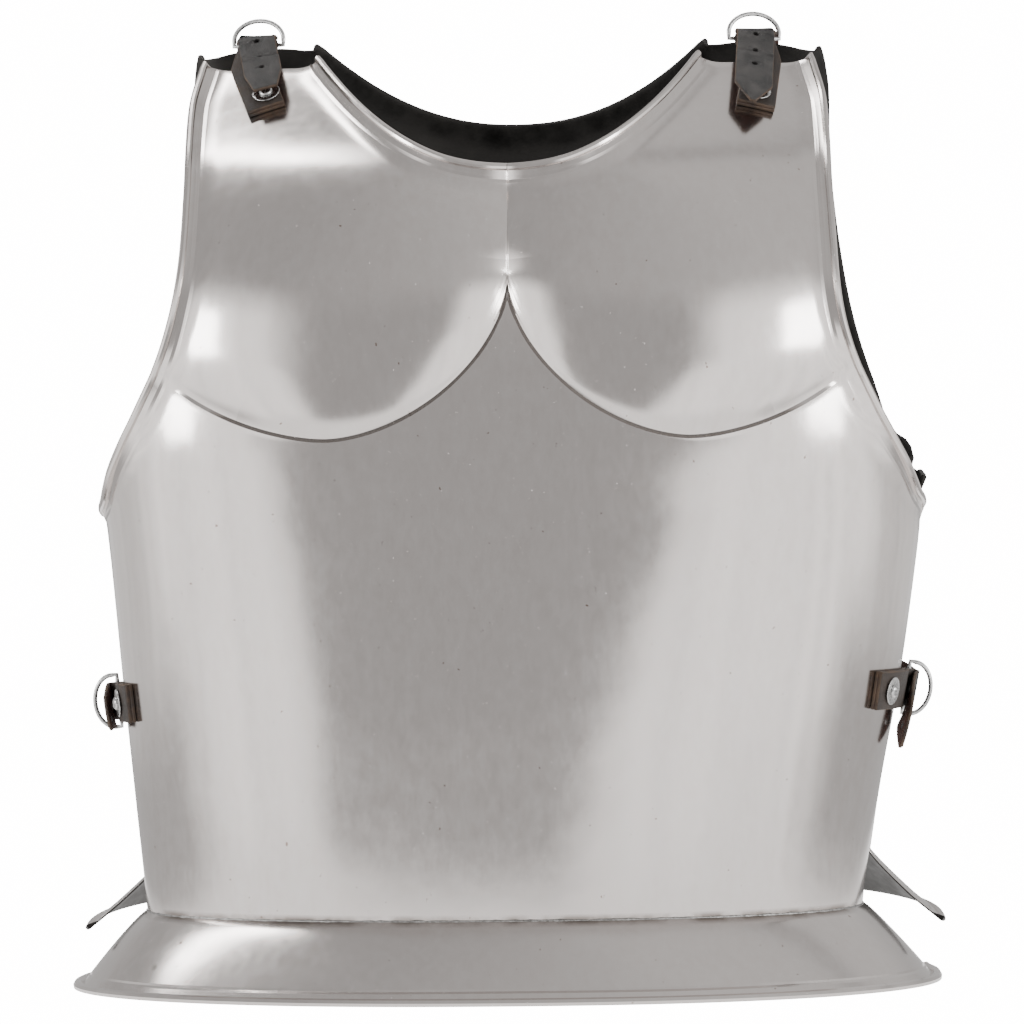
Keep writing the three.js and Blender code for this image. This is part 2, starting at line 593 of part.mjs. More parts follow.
// The loose end of a strap, from where it leaves the bar to its tip: at a shoulder it lies along the plate, and at a
// side it stands out straight.
function tailStations(set, bar, start) {
  const steps = 9;
  const { breastEdge, reach } = places[set.at];
  const shoulder = set.at === "shoulder";
  return Array.from({ length: steps }, (_, k) => {
    const share = (k + 1) / steps;
    const gone = set.tail * share;
    const at = start.clone().addScaledVector(bar.ahead, -gone).addScaledVector(bar.out, SPRING);
    const x = start.x + set.drift * share;
    if (shoulder && gone > reach) {
      const height = breastEdge - (gone - reach) * Math.abs(bar.ahead.z);
      const rest = seatOn(breast, set, height, x - set.side * set.x);
      const lift = SHEET / 2 + LAYER_THREE + set.lift * Math.sin((share * Math.PI) / 2);
      at.copy(rest.at).addScaledVector(rest.normal, lift);
    }
    if (shoulder) at.addScaledVector(bar.across, (x - at.x) / bar.across.x);
    else at.x += set.drift * share;
    at.z -= set.sink * share ** 2;
    const narrowing = clamp((gone - set.tail + TIP_LENGTH) / TIP_LENGTH, 0, 1);
    const across = bar.across.clone().applyAxisAngle(bar.ahead, radians(set.twist * share));
    const left = STRAP_WIDTH / 2 - set.leftCut * narrowing;
    return { at, across, left, right: STRAP_WIDTH / 2 - set.rightCut * narrowing };
  });
}

// One set: a tab folded round the ring's bar and riveted to the breastplate, the ring, and a strap that is riveted
// to the backplate, goes over the bar inside the ring, and hangs down in front.
function strapSet(set) {
  const place = places[set.at];
  const shoulder = set.at === "shoulder";
  const edge = seatOn(breast, set, place.breastEdge);
  const inside = seatOn(breast, set, place.breastEdge - 1);
  const out = edge.normal;
  const ahead = out.clone().cross(edge.across);
  ahead.multiplyScalar(Math.sign(ahead.dot(edge.at.clone().sub(inside.at))));
  const middle = SHEET / 2 + (LAYER_ONE + LAYER_TWO) / 2 + place.stand;
  const centre = edge.at.clone().addScaledVector(ahead, place.reach).addScaledVector(out, middle);
  const bar = { centre, across: edge.across, ahead, out };

  const tabSeat = seatOn(breast, set, set.tabRivet, set.rivetShift);
  const leaf = (lift) => follow(breast, set, place.breastEdge, set.tabEnd, 6, lift, set.tabDrift);
  const loop = wrap(bar, TAB_RADIUS, 125, -125, 8);
  const folded = ribbonSolid([...leaf(LAYER_TWO).reverse(), ...loop, ...leaf(LAYER_ONE)]);
  const tab = drill(folded, tabSeat.at, tabSeat.normal, SHANK + GAP);

  const bow = shoulder ? new THREE.Vector3(0, 0.1, 1) : new THREE.Vector3(set.side, 0.15, 0);
  bow.addScaledVector(edge.across, -bow.dot(edge.across)).normalize();
  const ring = ringSolid(centre, edge.across, bow);

  const strapSeat = seatOn(back, set, place.strapRivet);
  const onBack = follow(back, set, place.strapEnd, place.backEdge, 6, LAYER_ONE + BACK_ROOM);
  const over = wrap(bar, TAB_RADIUS + LEATHER + GAP, place.meet, 90, 4);
  const tail = tailStations(set, bar, over.at(-1).at);
  let strap = ribbonSolid([...onBack, ...over, ...tail]);
  strap = drill(strap, strapSeat.at, strapSeat.normal, SHANK + GAP);
  const run = new THREE.CatmullRomCurve3([over.at(-1), ...tail].map(({ at }) => at));
  for (let k = 0; k < 3; k++) {
    const share = (FIRST_HOLE + HOLE_PITCH * k) / set.tail;
    strap = drill(strap, run.getPointAt(share), bar.across.clone().cross(run.getTangentAt(share)), HOLE);
  }

  const onTab = 2 * (LEATHER + GAP) + GAP;
  const onStrap = LEATHER + 2 * GAP + BACK_ROOM;
  const rivet = (seat, layers) => rivetSolid(seat.at, seat.normal, layers + WASHER_THICKNESS + GAP);
  const pieces = [
    { name: "tab", solid: tab, finish: TAB_LEATHER },
    { name: "ring", solid: ring, finish: BRIGHT_STEEL },
    { name: "strap", solid: strap, finish: STRAP_LEATHER },
    { name: "tab_rivet", solid: rivet(tabSeat, onTab), finish: BRIGHT_STEEL },
    { name: "tab_washer", solid: washerSolid(tabSeat.at, tabSeat.normal, onTab), finish: BRIGHT_STEEL },
    { name: "strap_rivet", solid: rivet(strapSeat, onStrap), finish: BRIGHT_STEEL },
    { name: "strap_washer", solid: washerSolid(strapSeat.at, strapSeat.normal, onStrap), finish: BRIGHT_STEEL },
  ];
  const meshes = pieces.map(({ name, solid, finish }) => solidMesh(`${set.name}_${name}`, solid, finish));
  return { meshes, seats: { breast: tabSeat, back: strapSeat } };
}

// ---- The assembly ----
const sets = strapSets.map(strapSet);
const drilled = (plate, key) =>
  sets.reduce((solid, { seats }) => drill(solid, seats[key].at, seats[key].normal, SHANK + GAP), plateSolid(plate));
const breastSolid = drilled(breast, "breast");
const ground = new THREE.BoxGeometry(600, 600, 40);
const floorCut = geometrySolid(ground, new THREE.Matrix4().makeTranslation(0, 0, -20));

const cuirass = new THREE.Group();
cuirass.add(solidMesh("breastplate", breastSolid.subtract(floorCut), STEEL));
cuirass.add(solidMesh("backplate", drilled(back, "back"), STEEL));
cuirass.add(...sets.flatMap(({ meshes }) => meshes));

// The origin is on the ground, under the middle of the width and the depth.
const middle = new THREE.Box3().setFromObject(cuirass).getCenter(new THREE.Vector3());
cuirass.position.set(-middle.x, -middle.y, 0);

export default cuirass;
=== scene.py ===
"""A steel cuirass: a formed breastplate and a backplate, strapped together at the shoulders and the sides.

The plates are worked out as torso sections in millimetres, as in the part's source, and every mesh is made in
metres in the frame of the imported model: +Z up, -Y the front of the chest, +X the wearer's left.
"""
import math
from collections import namedtuple

import bmesh
import bpy
import numpy as np
from bpy.props import FloatProperty, FloatVectorProperty, IntProperty, PointerProperty
from mathutils import Matrix, Quaternion, Vector


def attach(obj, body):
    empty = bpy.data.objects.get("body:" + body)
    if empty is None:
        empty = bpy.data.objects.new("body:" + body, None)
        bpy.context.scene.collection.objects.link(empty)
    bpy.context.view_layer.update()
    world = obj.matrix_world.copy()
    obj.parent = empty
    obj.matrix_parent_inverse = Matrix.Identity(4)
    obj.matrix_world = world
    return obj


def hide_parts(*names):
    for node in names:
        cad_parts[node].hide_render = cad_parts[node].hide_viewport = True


bl_info = {
    "name": "Steel Cuirass",
    "version": (1, 0, 0),
    "blender": (4, 5, 0),
    "location": "View3D > Sidebar > Cuirass",
    "description": "Builds a steel breastplate and backplate with their straps, rings and rivets",
    "category": "Object",
}

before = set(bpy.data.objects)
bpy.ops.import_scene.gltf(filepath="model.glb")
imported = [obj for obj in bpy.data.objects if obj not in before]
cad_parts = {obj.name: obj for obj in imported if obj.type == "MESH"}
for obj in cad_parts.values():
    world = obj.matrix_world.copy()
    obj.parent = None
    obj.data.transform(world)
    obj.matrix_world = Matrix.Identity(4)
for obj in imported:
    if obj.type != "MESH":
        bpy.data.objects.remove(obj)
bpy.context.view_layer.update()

# ---- Sizes shared by the pieces, in millimetres ----
ORIGIN = (5.5, -2.13, 0.0)  # where the sections' own origin lies in the frame
FINER = 6  # cells of a shown plate for each cell of the solid
SHEET = 1.2
EDGE_ROLL = 1.9
CUT_EDGE = 0.6
FLARE_WIDTH = 13
FLARE_HEIGHT = 4.5
FLARE_FOOT = 12
PLATE_GAP = 26
RELAX_PASSES = 430
ROLL_STEPS = 8
PECTORAL_SWEEP = 0.86  # share of half a turn that the pectoral line runs through
PECTORAL_FADE = 75  # how far under the neck the pectorals die out
SHARP_ANGLE = 35
FAR_AWAY = 1000.0

GAP = 0.3
LEATHER = 1.8
STRAP_WIDTH = 20
WIRE = 1.2
RING_HALF_WIDTH = 13.8
RING_LEG = 3
BOW_HEIGHT = 10.2
SHANK = 2
WASHER_THICKNESS = 0.9
BACK_ROOM = 0.3
HOLE = 1.6
FIRST_HOLE = 3
HOLE_PITCH = 13
TIP_LENGTH = 13
SPRING = 0.4
HOLES = 3
CORNER = 0.45  # how far the cut edges of the leather are rounded
TAB_WRAP = 125  # how far round the bar a tab goes each way, in degrees
CUTTER_LENGTH = 9
CUTTER_SIDES = 28
LAYER_ONE = GAP + LEATHER / 2
LAYER_TWO = LAYER_ONE + LEATHER + GAP
LAYER_THREE = LAYER_TWO + LEATHER + GAP
TAB_RADIUS = WIRE + GAP + LEATHER / 2
ON_TAB = 2 * (LEATHER + GAP) + GAP
ON_STRAP = LEATHER + 2 * GAP + BACK_ROOM

# ---- The view and the finish ----
CAMERA_TARGET = (-2, -5.5, 247)
CAMERA_DISTANCE = 2.742
CAMERA_TURN = 1.5
CAMERA_ROLL = -0.7
CAMERA_LENS = 183
FLOOR_REACH = 8
WARM_WHITE = (1, 0.985, 0.975, 1)
# Where the weld has scorched or pitted the breastplate, in metres, with the radius of the mark.
SCORCH_MARKS = (
    ((0.0085, -0.143, 0.035), 0.0045),
    ((0.012, -0.146, 0.03), 0.0026),
    ((-0.18, -0.08, 0.014), 0.0032),
)

# ---- The two plates ----
# half_width and depth are a section's half axes, lean is how far the section moves towards the other plate,
# shift is how far its two sides sit off centre, and squareness is 2 for an ellipse and more when squarer.
# bright_roll is the share of an edge's roll that is polished as the outside is. The rest is black, as the
# inside is.
Section = namedtuple("Section", "z half_width depth lean shift squareness")
Edge = namedtuple("Edge", "z x")
Neck = namedtuple("Neck", "low high half_width curve")
Side = namedtuple("Side", "turn z round fade")
Line = namedtuple("Line", "z rise turn")
Rim = namedtuple("Rim", "z rise turn flare curve roll")
Pectoral = namedtuple("Pectoral", "x z inner outer drop curve height")
Plate = namedtuple(
    "Plate",
    "facing side_plane sections arm_edge neck shoulder_dip side seam rim pectoral rows columns bright_roll",
)

BREAST = Plate(
    facing=-1,
    side_plane=0,
    sections=[
        Section(0, 187, 107, 0, -7.5, 2.3),
        Section(40, 188, 108, 0, -8.5, 2.3),
        Section(100, 195.5, 112, 0, -6.5, 2.35),
        Section(160, 204, 119, 0, -3.5, 2.4),
        Section(220, 211, 125, 0, -1.5, 2.5),
        Section(245, 213.5, 127, 0, -1.5, 2.55),
        Section(285, 215, 130, 0, -4, 2.6),
        Section(335, 214, 130, 4, -3.5, 2.6),
        Section(380, 210, 127, 13, -0.5, 2.6),
        Section(424, 207, 118, 30, -1, 2.6),
        Section(455, 205, 106, 46, -2, 2.6),
        Section(490, 204, 88, 66, -3, 2.6),
    ],
    arm_edge=[
        Edge(249, 211.5),
        Edge(268, 202.5),
        Edge(285, 192.5),
        Edge(299, 184.5),
        Edge(330, 170.5),
        Edge(361, 163.5),
        Edge(408, 161),
        Edge(456, 161),
        Edge(479.5, 156.5),
    ],
    neck=Neck(low=418.5, high=479.5, half_width=99, curve=2.3),
    shoulder_dip=-0.7,
    side=Side(turn=91.5, z=247, round=9, fade=55),
    seam=Line(z=39.5, rise=0, turn=91.5),
    rim=Rim(z=1.7, rise=0, turn=104, flare=36, curve=0.85, roll=2.7),
    pectoral=Pectoral(x=92, z=366, inner=92, outer=110, drop=81, curve=1.75, height=12),
    rows={"flange": 3, "side": 4, "arm": 4, "chest": 10},
    columns={"neck": 12, "shoulder": 6},
    bright_roll=0.7,
)
BACK = Plate(
    facing=1,
    side_plane=PLATE_GAP,
    sections=[
        Section(40, 185, 82, 0, -4, 2.3),
        Section(100, 192, 86, 0, -1.5, 2.3),
        Section(180, 204, 94, 0, 0, 2.4),
        Section(260, 214, 102, 0, 0, 2.5),
        Section(340, 213, 104, 0, 0, 2.5),
        Section(400, 209, 100, 6, -1, 2.5),
        Section(440, 206, 92, 20, -1.5, 2.5),
        Section(470, 205, 78, 42, -2, 2.5),
        Section(500, 204, 60, 76, -2, 2.5),
    ],
    arm_edge=[
        Edge(264, 211),
        Edge(280, 206),
        Edge(296, 196),
        Edge(330, 182.5),
        Edge(370, 173.5),
        Edge(430, 166.5),
        Edge(466, 166),
        Edge(485, 163),
    ],
    neck=Neck(low=451, high=490, half_width=103, curve=2.2),
    shoulder_dip=-6,
    side=Side(turn=90.5, z=262, round=9, fade=50),
    seam=Line(z=64.5, rise=16, turn=90.5),
    rim=Rim(z=28.5, rise=18, turn=92, flare=41, curve=1.1, roll=1.5),
    pectoral=None,
    rows={"flange": 2, "side": 4, "arm": 3, "chest": 6},
    columns={"neck": 8, "shoulder": 5},
    bright_roll=0.3,
)

# ---- The strap sets ----
# The two edges are where the leather leaves the plates. At a shoulder they are heights, and at a side turns.
Place = namedtuple("Place", "breast_edge back_edge strap_rivet strap_end reach stand meet")
PLACES = {
    "shoulder": Place(479, 495.8, 474, 464, 18.5, 0, 36),
    "side": Place(90.5, 90, 75, 69, 12, 3, 44),
}
StrapSet = namedtuple(
    "StrapSet",
    "name at side x z back_rise tab_end tab_rivet tab_drift rivet_shift"
    " tail lift sink drift twist left_cut right_cut",
)
STRAP_SETS = [
    StrapSet("shoulder_left", "shoulder", 1, 132.5, 0, 0, 453.5, 460, -4.5, -4, 61, 5, 0, -3, 0, 8.5, 8.5),
    StrapSet("shoulder_right", "shoulder", -1, 134.5, 0, 0, 455.5, 462.5, 10, 10, 47, 6.5, 0, 7.5, 0, 3.5, 3.5),
    StrapSet("side_left", "side", 1, 0, 153, 3, 62, 67.5, 0, 0, 39, 0, 29, -10, 17, 8.5, 8.5),
    StrapSet("side_right", "side", -1, 0, 150, 0, 69, 76.5, 0, 0, 36, 0, 13, 4, -17, 8.5, 8.5),
]


# ---- Torso sections ----
def lerp(a, b, t):
    return a + (b - a) * t


def sample(rows, column, z):
    """The value of one column of a table at z, on a smooth curve through the rows."""
    z = np.asarray(z, float)
    heights = np.array([row.z for row in rows], float)
    values = np.array([getattr(row, column) for row in rows], float)
    last = len(rows) - 1
    before = np.maximum(np.arange(last + 1) - 1, 0)
    after = np.minimum(np.arange(last + 1) + 1, last)
    slopes = (values[after] - values[before]) / (heights[after] - heights[before])
    k = np.clip(np.searchsorted(heights, z, side="left") - 1, 0, last - 1)
    span = heights[k + 1] - heights[k]
    t = np.clip((z - heights[k]) / span, 0, 1)
    low = (2 * t**3 - 3 * t**2 + 1) * values[k] + (t**3 - 2 * t**2 + t) * span * slopes[k]
    return low + (3 * t**2 - 2 * t**3) * values[k + 1] + (t**3 - t**2) * span * slopes[k + 1]


def smoothstep(value, low, high):
    t = np.clip((value - low) / (high - low), 0, 1)
    return t * t * (3 - 2 * t)


def pectoral_rise(plate, x, z):
    """How far the pectoral stands out: steep at its lower edge and at the cleft, round in the middle."""
    shape = plate.pectoral
    if shape is None:
        return np.zeros_like(x)
    across = np.abs(x) - shape.x
    down = np.maximum(shape.z - z, 0) / shape.drop
    out = np.abs(across) / np.where(across < 0, shape.inner, shape.outer)
    reach = (out**shape.curve + down**shape.curve) ** (1 / shape.curve)
    fade = smoothstep(plate.neck.high - z, 0, PECTORAL_FADE)
    return shape.height * fade * np.maximum(1 - reach**2.2, 0) ** 0.8


def pectoral_line(plate, share):
    """The lowest line of the pectoral at a share of the way from the cleft to the arm, as x and z."""
    shape = plate.pectoral
    angle = share * math.pi * PECTORAL_SWEEP
    across = -np.cos(angle)
    power = 2 / shape.curve
    x = shape.x + np.sign(across) * np.abs(across) ** power * np.where(across < 0, shape.inner, shape.outer)
    return np.maximum(x, 0), shape.z - np.abs(np.sin(angle)) ** power * shape.drop


def pectoral_end(plate):
    """The share of that line at which it meets the arm edge."""
    shares = np.linspace(0.5, 1, 251)
    x, z = pectoral_line(plate, shares)
    return shares[np.argmax(x >= sample(plate.arm_edge, "x", z))]


def turn_at(plate, x, z):
    """The turn, in radians, of the point of a section that has this x."""
    p = sample(plate.sections, "squareness", z)
    across = np.clip(x / sample(plate.sections, "half_width", z), -1, 1)
    return np.arctan2(across, (1 - np.abs(across) ** p) ** (1 / p))


def torso_point(plate, turn, z, flare=0.0, plain=False):
    """Points of the sheet's middle surface, as an array with x, y and z last."""
    turn, z, flare = np.broadcast_arrays(*(np.asarray(values, float) for values in (turn, z, flare)))
    p = sample(plate.sections, "squareness", z)
    reach = (np.abs(np.sin(turn)) ** p + np.abs(np.cos(turn)) ** p) ** (-1 / p)
    x = (sample(plate.sections, "half_width", z) + flare) * reach * np.sin(turn)
    shift = sample(plate.sections, "shift", z) * np.sin(turn) ** 2
    out = (sample(plate.sections, "depth", z) + flare) * reach * np.cos(turn)
    rise = np.where((flare > 0) | plain, 0, pectoral_rise(plate, x, z))
    y = out - sample(plate.sections, "lean", z) + rise
    return np.stack([x + shift, plate.side_plane + plate.facing * y, z], axis=-1)


def unit(vectors):
    return vectors / np.maximum(np.linalg.norm(vectors, axis=-1, keepdims=True), 1e-9)


def torso_normal(plate, turn, z, plain=False):
    step = 0.01
    across = torso_point(plate, turn + step, z, plain=plain) - torso_point(plate, turn - step, z, plain=plain)
    up = torso_point(plate, turn, z + 1, plain=plain) - torso_point(plate, turn, z - 1, plain=plain)
    return unit(np.cross(across, up) * -plate.facing)


# ---- The grid of a plate ----
def evenly(curve, plate):
    """The same curve on a plate, with its share of the length as its parameter."""
    shares = np.linspace(0, 1, 201)
    spots = torso_point(plate, *curve(shares))
    lengths = np.concatenate([[0], np.cumsum(np.linalg.norm(np.diff(spots, axis=0), axis=1))])
    return lambda share: curve(np.interp(np.clip(share, 0, 1) * lengths[-1], lengths, shares))


def half_grid(plate, finer):
    """Half of a plate: rows from the rim up, columns from the middle out, as turns, heights and flares."""
    rows = {name: count * finer for name, count in plate.rows.items()}
    columns = {name: count * finer for name, count in plate.columns.items()}
    width = columns["neck"] + columns["shoulder"]
    neck, side = plate.neck, plate.side
    top_z = plate.arm_edge[-1].z
    end = pectoral_end(plate) if plate.pectoral else 0
    join_z = float(pectoral_line(plate, end)[1]) if plate.pectoral else lerp(side.z, top_z, 0.35)

    def arm(z):
        above = 1 - np.clip((z - side.z) / side.round, 0, 1)
        edge_turn = turn_at(plate, sample(plate.arm_edge, "x", z), z)
        return lerp(edge_turn, math.radians(side.turn), 1 - np.sqrt(1 - above**2)), z

    def ridge(u):
        if plate.pectoral:
            x, z = pectoral_line(plate, u * end)
        else:
            x, z = u * sample(plate.arm_edge, "x", join_z), np.full_like(u, join_z)
        end_turn, end_z = arm(join_z)
        last = u >= 1
        return np.where(last, end_turn, turn_at(plate, x, z)), np.where(last, end_z, z)

    def level(line, u):
        turn = u * math.radians(line.turn)
        return turn, line.z + line.rise * np.cos(np.clip(turn, 0, math.pi / 2))

    def top(u):
        share = columns["neck"] / width
        w = (u - share) / (1 - share)
        outer = plate.arm_edge[-1]
        across = np.where(w < 0, neck.half_width * u / share, lerp(neck.half_width, outer.x, w))
        neck_z = neck.low + (neck.high - neck.low) * np.minimum(across / neck.half_width, 1) ** neck.curve
        dip = plate.shoulder_dip * np.sqrt(np.clip(np.sin(np.pi * w), 0, 1))
        z = np.where(w < 0, neck_z, lerp(neck.high, outer.z, w) - dip)
        return turn_at(plate, across, z), z

    armpit = evenly(lambda v: arm(lerp(side.z, join_z, v**2)), plate)
    upper_arm = evenly(lambda v: arm(lerp(join_z, top_z, v**2)), plate)
    arm_share = rows["arm"] / (rows["side"] + rows["arm"])

    def edge(v):
        turn, z = armpit((v - 1 + arm_share) / arm_share)
        below = v <= 1 - arm_share
        side_z = lerp(plate.seam.z, side.z, v / (1 - arm_share))
        return np.where(below, math.radians(side.turn), turn), np.where(below, side_z, z)

    def patch(low, high, middle, outer, v):
        """The cells between four edge curves."""
        u = np.linspace(0, 1, width + 1)
        v = v[:, None]
        grids = []
        for key in (0, 1):
            at_low, at_high = low(u)[key][None], high(u)[key][None]
            at_middle, at_outer = middle(v)[key], outer(v)[key]
            below = lerp(at_low[:, :1], at_low[:, -1:], u)
            above = lerp(at_high[:, :1], at_high[:, -1:], u)
            corners = lerp(below, above, v)
            grids.append(lerp(at_low, at_high, v) + lerp(at_middle, at_outer, u) - corners)
        return grids

    def middle_line(low, high):
        low_z, high_z = float(low(np.zeros(1))[1][0]), float(high(np.zeros(1))[1][0])
        return lambda v: (np.zeros_like(v), lerp(low_z, high_z, v))

    def seam(u):
        return level(plate.seam, u)

    v = np.arange(rows["flange"])[:, None] / rows["flange"]
    u = np.linspace(0, 1, width + 1)
    low, high = level(plate.rim, u), level(plate.seam, u)
    flange = [lerp(low[key][None], high[key][None], v) for key in (0, 1)]
    flare = np.repeat(plate.rim.flare * (1 - v) ** plate.rim.curve, width + 1, axis=1)
    body_rows = rows["side"] + rows["arm"]
    body = patch(seam, ridge, middle_line(seam, ridge), edge, np.arange(body_rows) / body_rows)
    chest_shares = np.arange(rows["chest"] + 1) / rows["chest"]
    chest = patch(ridge, top, middle_line(ridge, top), upper_arm, chest_shares)
    turn, z = [np.concatenate([flange[key], body[key], chest[key]]) for key in (0, 1)]
    flare = np.concatenate([flare, np.zeros((len(turn) - len(flare), width + 1))])
    for grid in (turn, z):
        relax(grid, rows["flange"], rows["flange"] + body_rows)
        relax(grid, rows["flange"] + body_rows, len(grid) - 1)
    return turn, z, flare


def relax(grid, low, high):
    """Evens out the grid between two rows that stay where they are."""
    part = grid[low : high + 1]
    for _ in range(RELAX_PASSES):
        around = part[:-2, 1:-1] + part[2:, 1:-1] + part[1:-1, :-2] + part[1:-1, 2:]
        part[1:-1, 1:-1] = lerp(part[1:-1, 1:-1], around / 4, 0.5)


def nearest(points, targets, batch=64):
    """Distance from each point to the nearest target, worked out in batches of targets."""
    least = np.full(points.shape[:-1], np.inf)
    for start in range(0, len(targets), batch):
        some = targets[start : start + batch]
        gaps = np.linalg.norm(points[..., None, :] - some, axis=-1)
        least = np.minimum(least, gaps.min(axis=-1))
    return least


def grid_normals(plate, grid):
    padded = np.pad(grid, ((1, 1), (1, 1), (0, 0)), mode="edge")
    across = padded[1:-1, 2:] - padded[1:-1, :-2]
    up = padded[2:, 1:-1] - padded[:-2, 1:-1]
    return unit(np.cross(across, up) * -plate.facing)


def plate_mesh(name, plate):
    """The sheet of a plate as a closed mesh with rolled and cut edges, and its distances to its lines."""
    turn, z, flare = half_grid(plate, FINER)
    width = turn.shape[1] - 1
    mirror = np.abs(np.arange(2 * width + 1) - width)
    sign = np.sign(np.arange(2 * width + 1) - width)
    turn, z, flare = turn[:, mirror] * sign, z[:, mirror], flare[:, mirror]
    grid = torso_point(plate, turn, z, flare)
    rows, columns = turn.shape
    arm_row = (plate.rows["flange"] + plate.rows["side"]) * FINER
    neck_columns = plate.columns["neck"] * FINER
    neck_edge = grid[-1, width - neck_columns : width + neck_columns + 1]
    bands = np.concatenate([neck_edge, grid[arm_row:, 0], grid[arm_row:, -1]])
    edge = nearest(grid, bands)
    outward = torso_normal(plate, turn, z, plain=True)
    height = FLARE_HEIGHT * smoothstep(z, plate.side.z - FLARE_FOOT, plate.side.z + plate.side.fade)
    grid = grid + outward * (height * np.maximum(1 - edge / FLARE_WIDTH, 0) ** 2)[..., None]
    normals = grid_normals(plate, grid)

    border = [(0, i) for i in range(columns - 1)]
    border += [(j, columns - 1) for j in range(rows - 1)]
    border += [(rows - 1, i) for i in range(columns - 1, 0, -1)]
    border += [(j, 0) for j in range(rows - 1, 0, -1)]
    points = [(grid + normals * SHEET / 2).reshape(-1, 3), (grid - normals * SHEET / 2).reshape(-1, 3)]
    size = rows * columns
    index = np.arange(size).reshape(rows, columns)
    quads = np.stack([index[:-1, :-1], index[:-1, 1:], index[1:, 1:], index[1:, :-1]], axis=-1).reshape(-1, 4)
    outer = quads if plate.facing < 0 else quads[:, ::-1]
    inner = outer[:, ::-1] + size

    def roll_radius(j, i):
        if j == 0:
            return plate.rim.roll
        is_neck = j == rows - 1 and abs(i - width) <= neck_columns
        is_arm = i in (0, columns - 1) and j >= arm_row
        return EDGE_ROLL if is_neck or is_arm else CUT_EDGE

    count = len(border)
    at = np.array([grid[j, i] for j, i in border])
    normal = np.array([normals[j, i] for j, i in border])
    tangent = unit(np.roll(at, -1, axis=0) - np.roll(at, 1, axis=0))
    out = unit(np.cross(tangent, normal) * -plate.facing)
    radius = np.array([roll_radius(j, i) for j, i in border])
    start = math.pi - np.arcsin((SHEET - radius) / radius)
    rings = [np.array([index[j, i] for j, i in border])]
    for step in range(1, ROLL_STEPS + 1):
        angle = lerp(start, -math.pi / 2, step / ROLL_STEPS)
        reach = radius * (np.cos(angle) - np.cos(start))
        rise = radius * np.sin(angle) + radius - SHEET / 2
        points.append(at + out * reach[:, None] + normal * rise[:, None])
        rings.append(2 * size + (step - 1) * count + np.arange(count))
    rings.append(rings[0] + size)
    walls, wall_kinds = [], []
    for step, (ring, under) in enumerate(zip(rings, rings[1:])):
        walls.append(np.stack([np.roll(ring, -1), ring, under, np.roll(under, -1)], axis=-1))
        wall_kinds.append(np.full(count, step > ROLL_STEPS * plate.bright_roll))
    walls = np.concatenate(walls)
    walls = walls if plate.facing < 0 else walls[:, ::-1]
    points = np.concatenate(points)
    points[:, 2] = np.maximum(points[:, 2], 0)
    faces = np.concatenate([outer, inner, walls])
    kinds = np.concatenate([np.zeros(len(outer)), np.ones(len(inner)), *wall_kinds])
    mesh = new_mesh(name, points, faces, kinds.astype(int))

    seam_z = plate.seam.z + plate.seam.rise * np.cos(np.clip(turn, -math.pi / 2, math.pi / 2))
    rim_gap = nearest(grid, grid[0])
    lip = np.full(rim_gap.shape, FAR_AWAY)
    if plate.pectoral:
        chest_row = arm_row + plate.rows["arm"] * FINER
        lip = nearest(grid, grid[chest_row]) * np.sign(np.arange(rows) - chest_row + 0.5)[:, None]
    border_index = np.array([j * columns + i for j, i in border])
    for key, values in (("edge", edge), ("seam", z - seam_z), ("rim", rim_gap), ("lip", lip)):
        flat = values.reshape(-1)
        around = np.tile(flat[border_index], ROLL_STEPS)
        if key in ("edge", "rim"):
            around = np.minimum(around, 0)
        whole = np.concatenate([flat, flat, around]) / 1000
        layer = mesh.attributes.new(key, "FLOAT", "POINT")
        layer.data.foreach_set("value", whole.astype(np.float32))
    return mesh


# ---- Mesh helpers ----
def to_frame(points):
    """Millimetres round the sections' origin as metres in the frame."""
    return (np.asarray(points, float) + ORIGIN) / 1000


def new_mesh(name, points, faces, kinds=None):
    mesh = bpy.data.meshes.new(name)
    mesh.from_pydata(to_frame(points).tolist(), [], [list(face) for face in faces])
    mesh.polygons.foreach_set("use_smooth", [True] * len(mesh.polygons))
    if kinds is not None:
        mesh.polygons.foreach_set("material_index", kinds)
    mesh.update()
    return mesh


def add_object(name, mesh, *materials):
    obj = bpy.data.objects.new(name, mesh)
    bpy.context.scene.collection.objects.link(obj)
    for material in materials:
        obj.data.materials.append(material)
    return obj


def settle(obj, nodes=()):
    """A finished piece rides on the body and stands for its CAD nodes."""
    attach(obj, "root")
    if nodes:
        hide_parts(*nodes)


def bake(obj):
    """The evaluated object as a plain mesh, with its modifiers removed."""
    graph = bpy.context.evaluated_depsgraph_get()
    mesh = bpy.data.meshes.new_from_object(obj.evaluated_get(graph))
    obj.modifiers.clear()
    old = obj.data
    obj.data = mesh
    bpy.data.meshes.remove(old)
    return obj


# ---- Straps, tabs and rings ----
Station = namedtuple("Station", "at across left right")
Bar = namedtuple("Bar", "centre across ahead out")


def seat_on(plate, strap, value, shift=0.0):
    """Where a strap set meets a plate, as the point, the normal and the strap's direction across."""
    shoulder = strap.at == "shoulder"
    z = value if shoulder else strap.z + (strap.back_rise if plate is BACK else 0)
    turn = turn_at(plate, strap.side * strap.x + shift, z) if shoulder else strap.side * math.radians(value)
    level = torso_point(plate, turn + 0.02, z) - torso_point(plate, turn - 0.02, z)
    upright = torso_point(plate, turn, z + 2) - torso_point(plate, turn, z - 2)
    return torso_point(plate, turn, z), torso_normal(plate, turn, z), unit(level if shoulder else upright)


